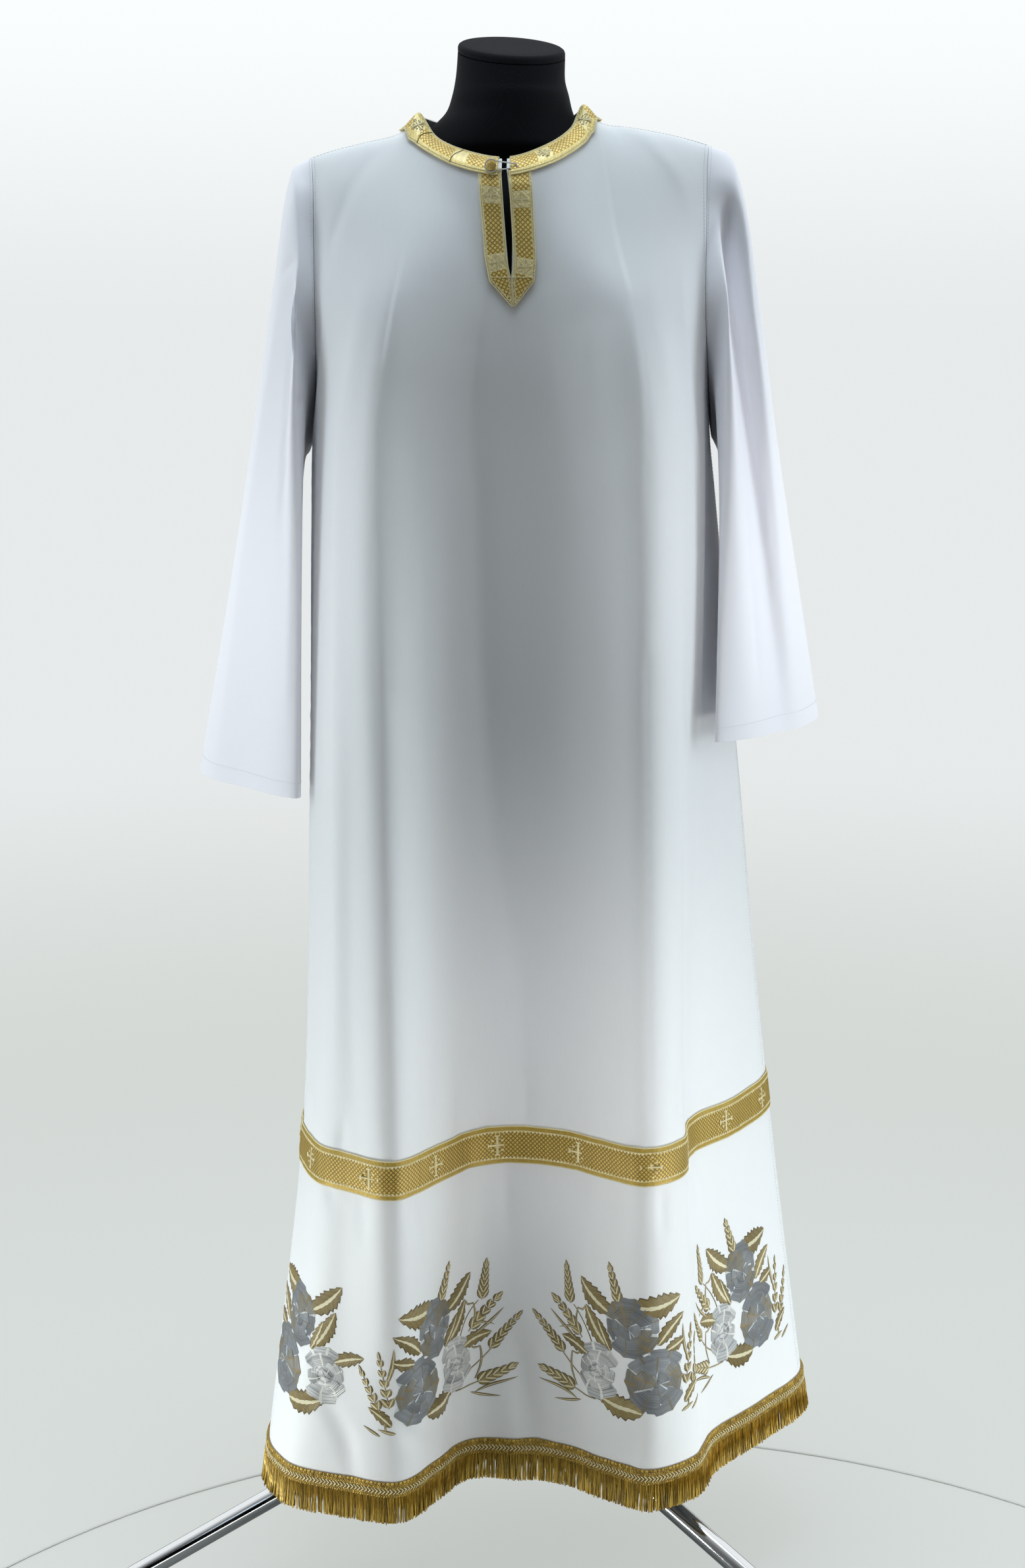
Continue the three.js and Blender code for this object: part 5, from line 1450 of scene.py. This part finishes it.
def chevron_piece(name, length, height, thick):
    """Two yarns meeting in a point, as one stitch of a braid."""
    points, faces = [], []
    for lean in (1, -1):
        ring = [(-length / 2, lean * height / 2), (-length / 2 + thick, lean * height / 2), (length / 2, 0),
                (length / 2 - thick, 0)]
        more, sides = pad(ring if lean < 0 else ring[::-1], 0.5, ease=0.6)
        faces += [[i + len(points) for i in f] for f in sides]
        points += more
    return template(name, points, faces)


DROP = FRINGE["bottom"] - FRINGE["end"]
STRANDS = [  # a strand of its length, thickness and bends, its lift off the cloth, and the spacing, in mm
    (template("strand_inner", *strand_piece(DROP + 1.2, 2.3, (0.6, 0.2))), 1.0, 1.7),
    (template("strand_middle", *strand_piece(DROP + 0.6, 1.9, (-1.3, 0.9))), 1.8, 1.9),
    (template("strand_outer", *strand_piece(DROP - 0.8, 1.6, (1.2, -0.3))), 2.5, 3.1),
]
CHEVRON = chevron_piece("chevron", 3.4, 4.4, 1.5)
ZIGZAG = chevron_piece("zigzag", 4.6, 6.4, 1.5)
LOOP = template("heading_loop", *pad(oval(4.0, 3.6, 8), 1.2))
for side, panel in (("front", front), ("back", back)):
    u = panel["u"]
    rows = np.linspace(FRINGE["bottom"], FRINGE["top"], 5)
    at, out = strip_on(panel, u, rows, np.full(len(rows), FRINGE["lift"] - 0.2))
    along = np.repeat(distances(at[2])[None], len(rows), 0)
    uv = np.stack(np.broadcast_arrays(along, rows[:, None]), 2) * MM
    heading = cloth_piece(f"fringe_heading_{side}", at, out, quad_grid(len(u), 5, flip=panel["facing"] < 0),
                          FRINGE["lift"] - 0.75, uv, HEADING_GOLD)
    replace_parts(heading, f"fringe_{side}")
    for name, small, v, spacing, finish, lift in (
            ("loops", LOOP, 204.8, 4.4, FRINGE_GOLD, 0.0),
            ("braid_top", CHEVRON, 201.0, 2.6, FRINGE_GOLD, 0.0),
            ("zigzag", ZIGZAG, 196.2, 3.9, CREAM, 0.5), ("braid_low", CHEVRON, 190.8, 2.6, FRINGE_GOLD, 0.0)):
        line = along_cloth(panel, u, v, FRINGE["lift"] - 0.25 + lift)
        row_of(f"fringe_{name}_{side}", [line], small, spacing, 0.10, 9, finish)
    for k, (strand, lift, spacing) in enumerate(STRANDS):
        lines = [along_cloth(panel, u, FRINGE["bottom"] + 1.5, lift)]
        lines = lines if panel["facing"] > 0 else turned_lines(lines)
        row_of(f"fringe_strands_{k}_{side}", lines, strand, spacing, 0.05, 20 + k, FRINGE_GOLD)

# ---------------------------------------------------------------- embroidery over the hem
# Bouquets in machine satin stitch between the galloon and the hem: two grey-blue blossoms and a pale one with
# serrated leaves, ears of wheat and curled stems in bronze thread. The right ones mirror the left ones.
def satin_stitch_group():
    """Threads laid side by side over padding: their relief, their tone, a pale middle line and a rim."""
    made, given, result = group_tree("satin_stitch",
                                     {"Stitches per metre": 1100.0, "Middle": 0.12, "Rim": 0.84},
                                     ("Height", "Tone", "Middle", "Rim"))
    split = add_node(made, "ShaderNodeSeparateXYZ", {0: given["Vector"]}).outputs
    thread, own = strands(made, maths(made, "MULTIPLY", split["X"], given["Stitches per metre"]))
    across = maths(made, "ABSOLUTE", split["Y"])
    feed(made, result, {"Height": thread, "Tone": own,
                        "Middle": maths(made, "LESS_THAN", across, given["Middle"]),
                        "Rim": maths(made, "GREATER_THAN", across, given["Rim"])})
    return made


SATIN_STITCH = satin_stitch_group()


def thread_finish(name, light, dark, middle, rim, stitches, rough, middle_width, rim_from):
    """Shining embroidery thread, from the stitch coordinates in the UV map."""
    made, tree, skin = new_finish(name, light, rough, 0.12)
    sewing = grouped(tree, SATIN_STITCH, "UV",
                     {"Stitches per metre": stitches, "Middle": middle_width, "Rim": rim_from})
    own = add_node(tree, "ShaderNodeNewGeometry").outputs["Random Per Island"]
    share = maths(tree, "MULTIPLY", maths(tree, "ADD", own, sewing["Tone"]), 0.5)
    ribbed = two_tone(tree, sewing["Middle"], two_tone(tree, share, dark, light), middle)
    feed(tree, skin, {"Base Color": two_tone(tree, sewing["Rim"], ribbed, rim)})
    bump(tree, skin, sewing["Height"], 0.5, 0.00025)
    return made


THREADS = {
    "blossom": thread_finish("slate_thread", (0.285, 0.300, 0.320), (0.125, 0.133, 0.146), (0.20, 0.18, 0.13),
                             (0.60, 0.63, 0.67), 900.0, 0.42, 0.06, 0.86),
    "heart": thread_finish("bronze_slate_thread", (0.28, 0.27, 0.235), (0.145, 0.138, 0.115),
                           (0.25, 0.19, 0.10), (0.62, 0.63, 0.63), 900.0, 0.42, 0.10, 0.84),
    "pale": thread_finish("silver_thread", (0.74, 0.74, 0.73), (0.14, 0.15, 0.165), (0.70, 0.69, 0.66),
                          (0.40, 0.41, 0.43), 520.0, 0.34, 0.08, 0.92),
    "leaf": thread_finish("bronze_thread", (0.37, 0.28, 0.115), (0.15, 0.11, 0.04), (0.78, 0.72, 0.50),
                          (0.12, 0.085, 0.03), 800.0, 0.36, 0.17, 0.86),
    "ear": thread_finish("old_gold_thread", (0.42, 0.33, 0.15), (0.17, 0.12, 0.045), (0.76, 0.69, 0.46),
                         (0.10, 0.07, 0.028), 900.0, 0.36, 0.22, 0.80),
}


def stitched(kind, base, tip, half, rows, columns, height, bend=0.0, lift=0.0, teeth=0):
    """One padded shape on flat cloth, in mm: a grid of (x, y, height) from base to tip with its stitch
    coordinates. kind sets the outline, bend bows its axis, teeth serrate its edge, and a petal is a fan that
    opens by half, in radians, to each side."""
    base, tip = np.array(base, float), np.array(tip, float)
    t = np.linspace(0, 1, rows + 1)[:, None]
    s = np.linspace(-1, 1, columns + 1)[None, :]
    span = tip - base
    length = np.linalg.norm(span)
    side = np.array([-span[1], span[0]]) / length
    wide = {"leaf": np.sin(math.pi * t ** 0.8) ** 0.7, "petal": 1.0,
            "grain": np.sin(math.pi * t ** 0.9) ** 0.6, "stem": 0.75 + 0.25 * np.sin(math.pi * t)}[kind]
    if teeth:
        wide = wide * (0.80 + 0.38 * (1 - (t * teeth) % 1.0))
    t_of, across = t + 0 * s, s * wide * half
    if kind == "petal":
        far = t * (1 - 0.13 * s ** 4 + 0.035 * np.cos(s * 9) * t)
        t_of, across = far * np.cos(s * half), far * length * np.sin(s * half)
    x = base[0] + span[0] * t_of + side[0] * (across + bend * np.sin(math.pi * t_of))
    y = base[1] + span[1] * t_of + side[1] * (across + bend * np.sin(math.pi * t_of))
    ends = np.clip(np.sin(math.pi * np.clip(t * 0.9 + 0.06, 0, 1)) * 2.2, 0, 1)
    dome = height * (1 - np.abs(s) ** 2.6) * ends
    stitch = t_of * length + np.abs(across) * (0.9 if kind in ("leaf", "grain") else 0.25)
    return np.stack([x, y, dome + 0.15 + lift], 2), np.stack([stitch * MM, s + 0 * t], 2)


def shape(thread, kind, base, tip, half, rows, columns, height, **more):
    """A thread, and what stitched() makes in it."""
    return thread, dict(kind=kind, base=base, tip=tip, half=half, rows=rows, columns=columns, height=height,
                        **more)


def blossom(x, y, wide, tall, turn, kind="blossom", heart="heart"):
    """Overlapping petals round a small heart, filling an oval of half sizes wide and tall."""
    shapes = []
    rings = ((6, 1.0, 0.66, 0.0), (5, 0.72, 0.66, 0.7), (3, 0.42, 0.8, 1.3))
    for ring, (count, reach, spread, lift) in enumerate(rings):
        for k in range(count):
            way = turn + 2 * math.pi * (k + 0.4 * ring) / count
            end = reach * (0.96 + 0.05 * math.sin(3.1 * k + turn))
            tip = (x + wide * end * math.cos(way), y + tall * end * math.sin(way))
            start = (x - wide * 0.05 * math.cos(way), y - tall * 0.05 * math.sin(way))
            shapes.append(shape(heart if (k + ring) % 3 == 2 else kind, "petal", start, tip, spread, 9, 8,
                                0.9, bend=1.2 * (-1) ** k, lift=lift + 0.12 * (k % 3)))
    return shapes


def ear(base, tip, pairs=6, grain=11.5, half=2.7):
    """An ear of wheat: a thin stem with grains in pairs along it and one at its tip."""
    base, tip = np.array(base, float), np.array(tip, float)
    span = tip - base
    length = np.linalg.norm(span)
    way = math.atan2(span[1], span[0])
    shapes = [shape("ear", "stem", base, base + span * 0.95, 0.7, 8, 3, 0.5)]
    for k in range(pairs):
        at = base + span * (0.02 + 0.72 * k / (pairs - 1))
        size = grain * (1.12 - 0.5 * k / pairs)
        wide = half * (1.15 - 0.45 * k / pairs)
        for lean in (0.5 - 0.04 * k, -0.5 + 0.04 * k):
            end = at + size * np.array([math.cos(way + lean), math.sin(way + lean)])
            shapes.append(shape("ear", "grain", at, end, wide, 7, 3, 0.8, lift=0.1 + 0.05 * (k % 2)))
    shapes.append(shape("ear", "grain", base + span * (1 - grain / length), tip, half * 0.7, 6, 4, 0.8))
    return shapes


def leaf(base, tip, half, bend=0.0, teeth=7):
    """A serrated leaf."""
    return [shape("leaf", "leaf", base, tip, half * 1.3, 26, 6, 0.8, bend=bend, teeth=teeth)]


def stem(base, tip, half=0.9, bend=0.0):
    """A thin stem."""
    return [shape("leaf", "stem", base, tip, half, 10, 3, 0.5, bend=bend)]


def blade(base, tip, half=1.7, bend=0.0):
    """A narrow blade of grass."""
    return [shape("ear", "leaf", base, tip, half, 12, 4, 0.6, bend=bend)]


SPRAY = [  # leaves, ears and stems, from the middle of the upper blossom, in mm
    *leaf((-22, 10), (-60, 43), 8.5, 3), *leaf((3, 26), (54, 31), 10.5, -4),
    *leaf((26, -18), (59, 11), 6.5, 2, 6),
    *leaf((36, -26), (61, -17), 5.6, -1, 4), *leaf((-27, -28), (-52, 14), 7.0, 2),
    *leaf((-22, -32), (-38, 2), 4.6, 1, 5),
    *leaf((-48, -42), (-85, -30), 6.2, -1, 5), *leaf((14, -96), (-38, -86), 10.0, 3),
    *ear((-12, 25), (-25, 68), 5, 11, 3.2), *ear((-74, 8), (-80, 56)),
    *ear((-60, -24), (-97, 16), 5, 12, 3.6),
    *ear((-82, -50), (-118, -5), 6, 11, 2.9), *ear((-68, -88), (-113, -70), 5, 13, 3.8),
    *stem((-40, -46), (-70, 8), 0.8, -6), *stem((-44, -78), (-84, -50), 0.9, 4),
    *stem((-40, -92), (-70, -88), 0.9, 1),
    *stem((-58, -26), (-64, 6), 1.3, 5), *stem((-64, 6), (-53, 12), 1.2, -3),
    *stem((-66, -84), (-72, -46), 1.3, 4), *stem((-72, -46), (-60, -42), 1.2, -3),
    *blade((-62, -34), (-98, -2), 1.8, 2), *blade((-58, -20), (-88, -22), 1.5, -3),
    *blade((-66, -100), (-112, -86), 1.9, -2), *blade((-60, -99), (-94, -106), 1.7, 2),
    *ear((64, -72), (73, -6), 5, 11, 2.9), *ear((74, -74), (96, -26), 5, 10, 2.7),
    *stem((68, -98), (76, -70), 1.3, 2),
    *leaf((62, -92), (86, -72), 4.6, 2, 4), *blade((58, -101), (76, -96), 2.2),
    *blade((74, -104), (92, -94), 2.0),
    *blade((66, -44), (58, -2), 2.2, 2),
]
BLOSSOMS = [*blossom(0, 0, 28, 36, 0.3), *blossom(27, -61, 33, 40, 1.1),
            *blossom(-38, -58, 21, 35, 0.8, "pale", "pale")]


def sew_on(panel, side, bouquets):
    """Lays the bouquets on a panel and joins the shapes of one thread into one piece."""
    heaps = {name: [] for name in THREADS}
    for middle, height, mirror, parts in bouquets:
        for thread, spec in parts:
            grid, uv = stitched(**spec)
            x, y, h = (grid[..., k] for k in range(3))
            v = height + y
            row = np.clip(np.interp(v, panel["v"], np.arange(len(panel["v"]))).round().astype(int), 0, None)
            u = np.array([[np.interp(middle + mirror * x[a, b], panel["width"][row[a, b]], panel["u"])
                           for b in range(x.shape[1])] for a in range(x.shape[0])])
            heaps[thread].append((u, v, h, uv, mirror * panel["facing"]))
    for thread, shapes in heaps.items():
        points, outs, walls, uvs, faces = [], [], [], [], []
        for u, v, h, uv, facing in shapes:
            start = sum(len(p) for p in points)
            points.append(on_cloth(panel, u, v, h).reshape(-1, 3))
            out = on_cloth(panel, u, v, field="out").reshape(-1, 3)
            outs.append(out / np.linalg.norm(out, axis=1)[:, None])
            walls.append((h + 0.5).reshape(-1))
            uvs.append(uv.reshape(-1, 2))
            cells = quad_grid(u.shape[1], u.shape[0], flip=facing > 0)
            faces += [[k + start for k in f] for f in cells]
        if points:
            cloth_piece(f"embroidery_{thread}_{side}", np.concatenate(points), np.concatenate(outs), faces,
                        np.concatenate(walls), np.concatenate(uvs), THREADS[thread])


WHOLE = SPRAY + BLOSSOMS
SMALL = SPRAY[:8] + BLOSSOMS
sew_on(front, "front", [(134, 365, 1, WHOLE), (-112, 362, -1, WHOLE), (-286, 374, -1, SMALL),
                        (342, 366, 1, WHOLE)])
sew_on(back, "back", [(-290, 364, -1, SMALL), (-118, 362, -1, WHOLE), (128, 364, 1, WHOLE),
                      (322, 366, 1, SMALL)])
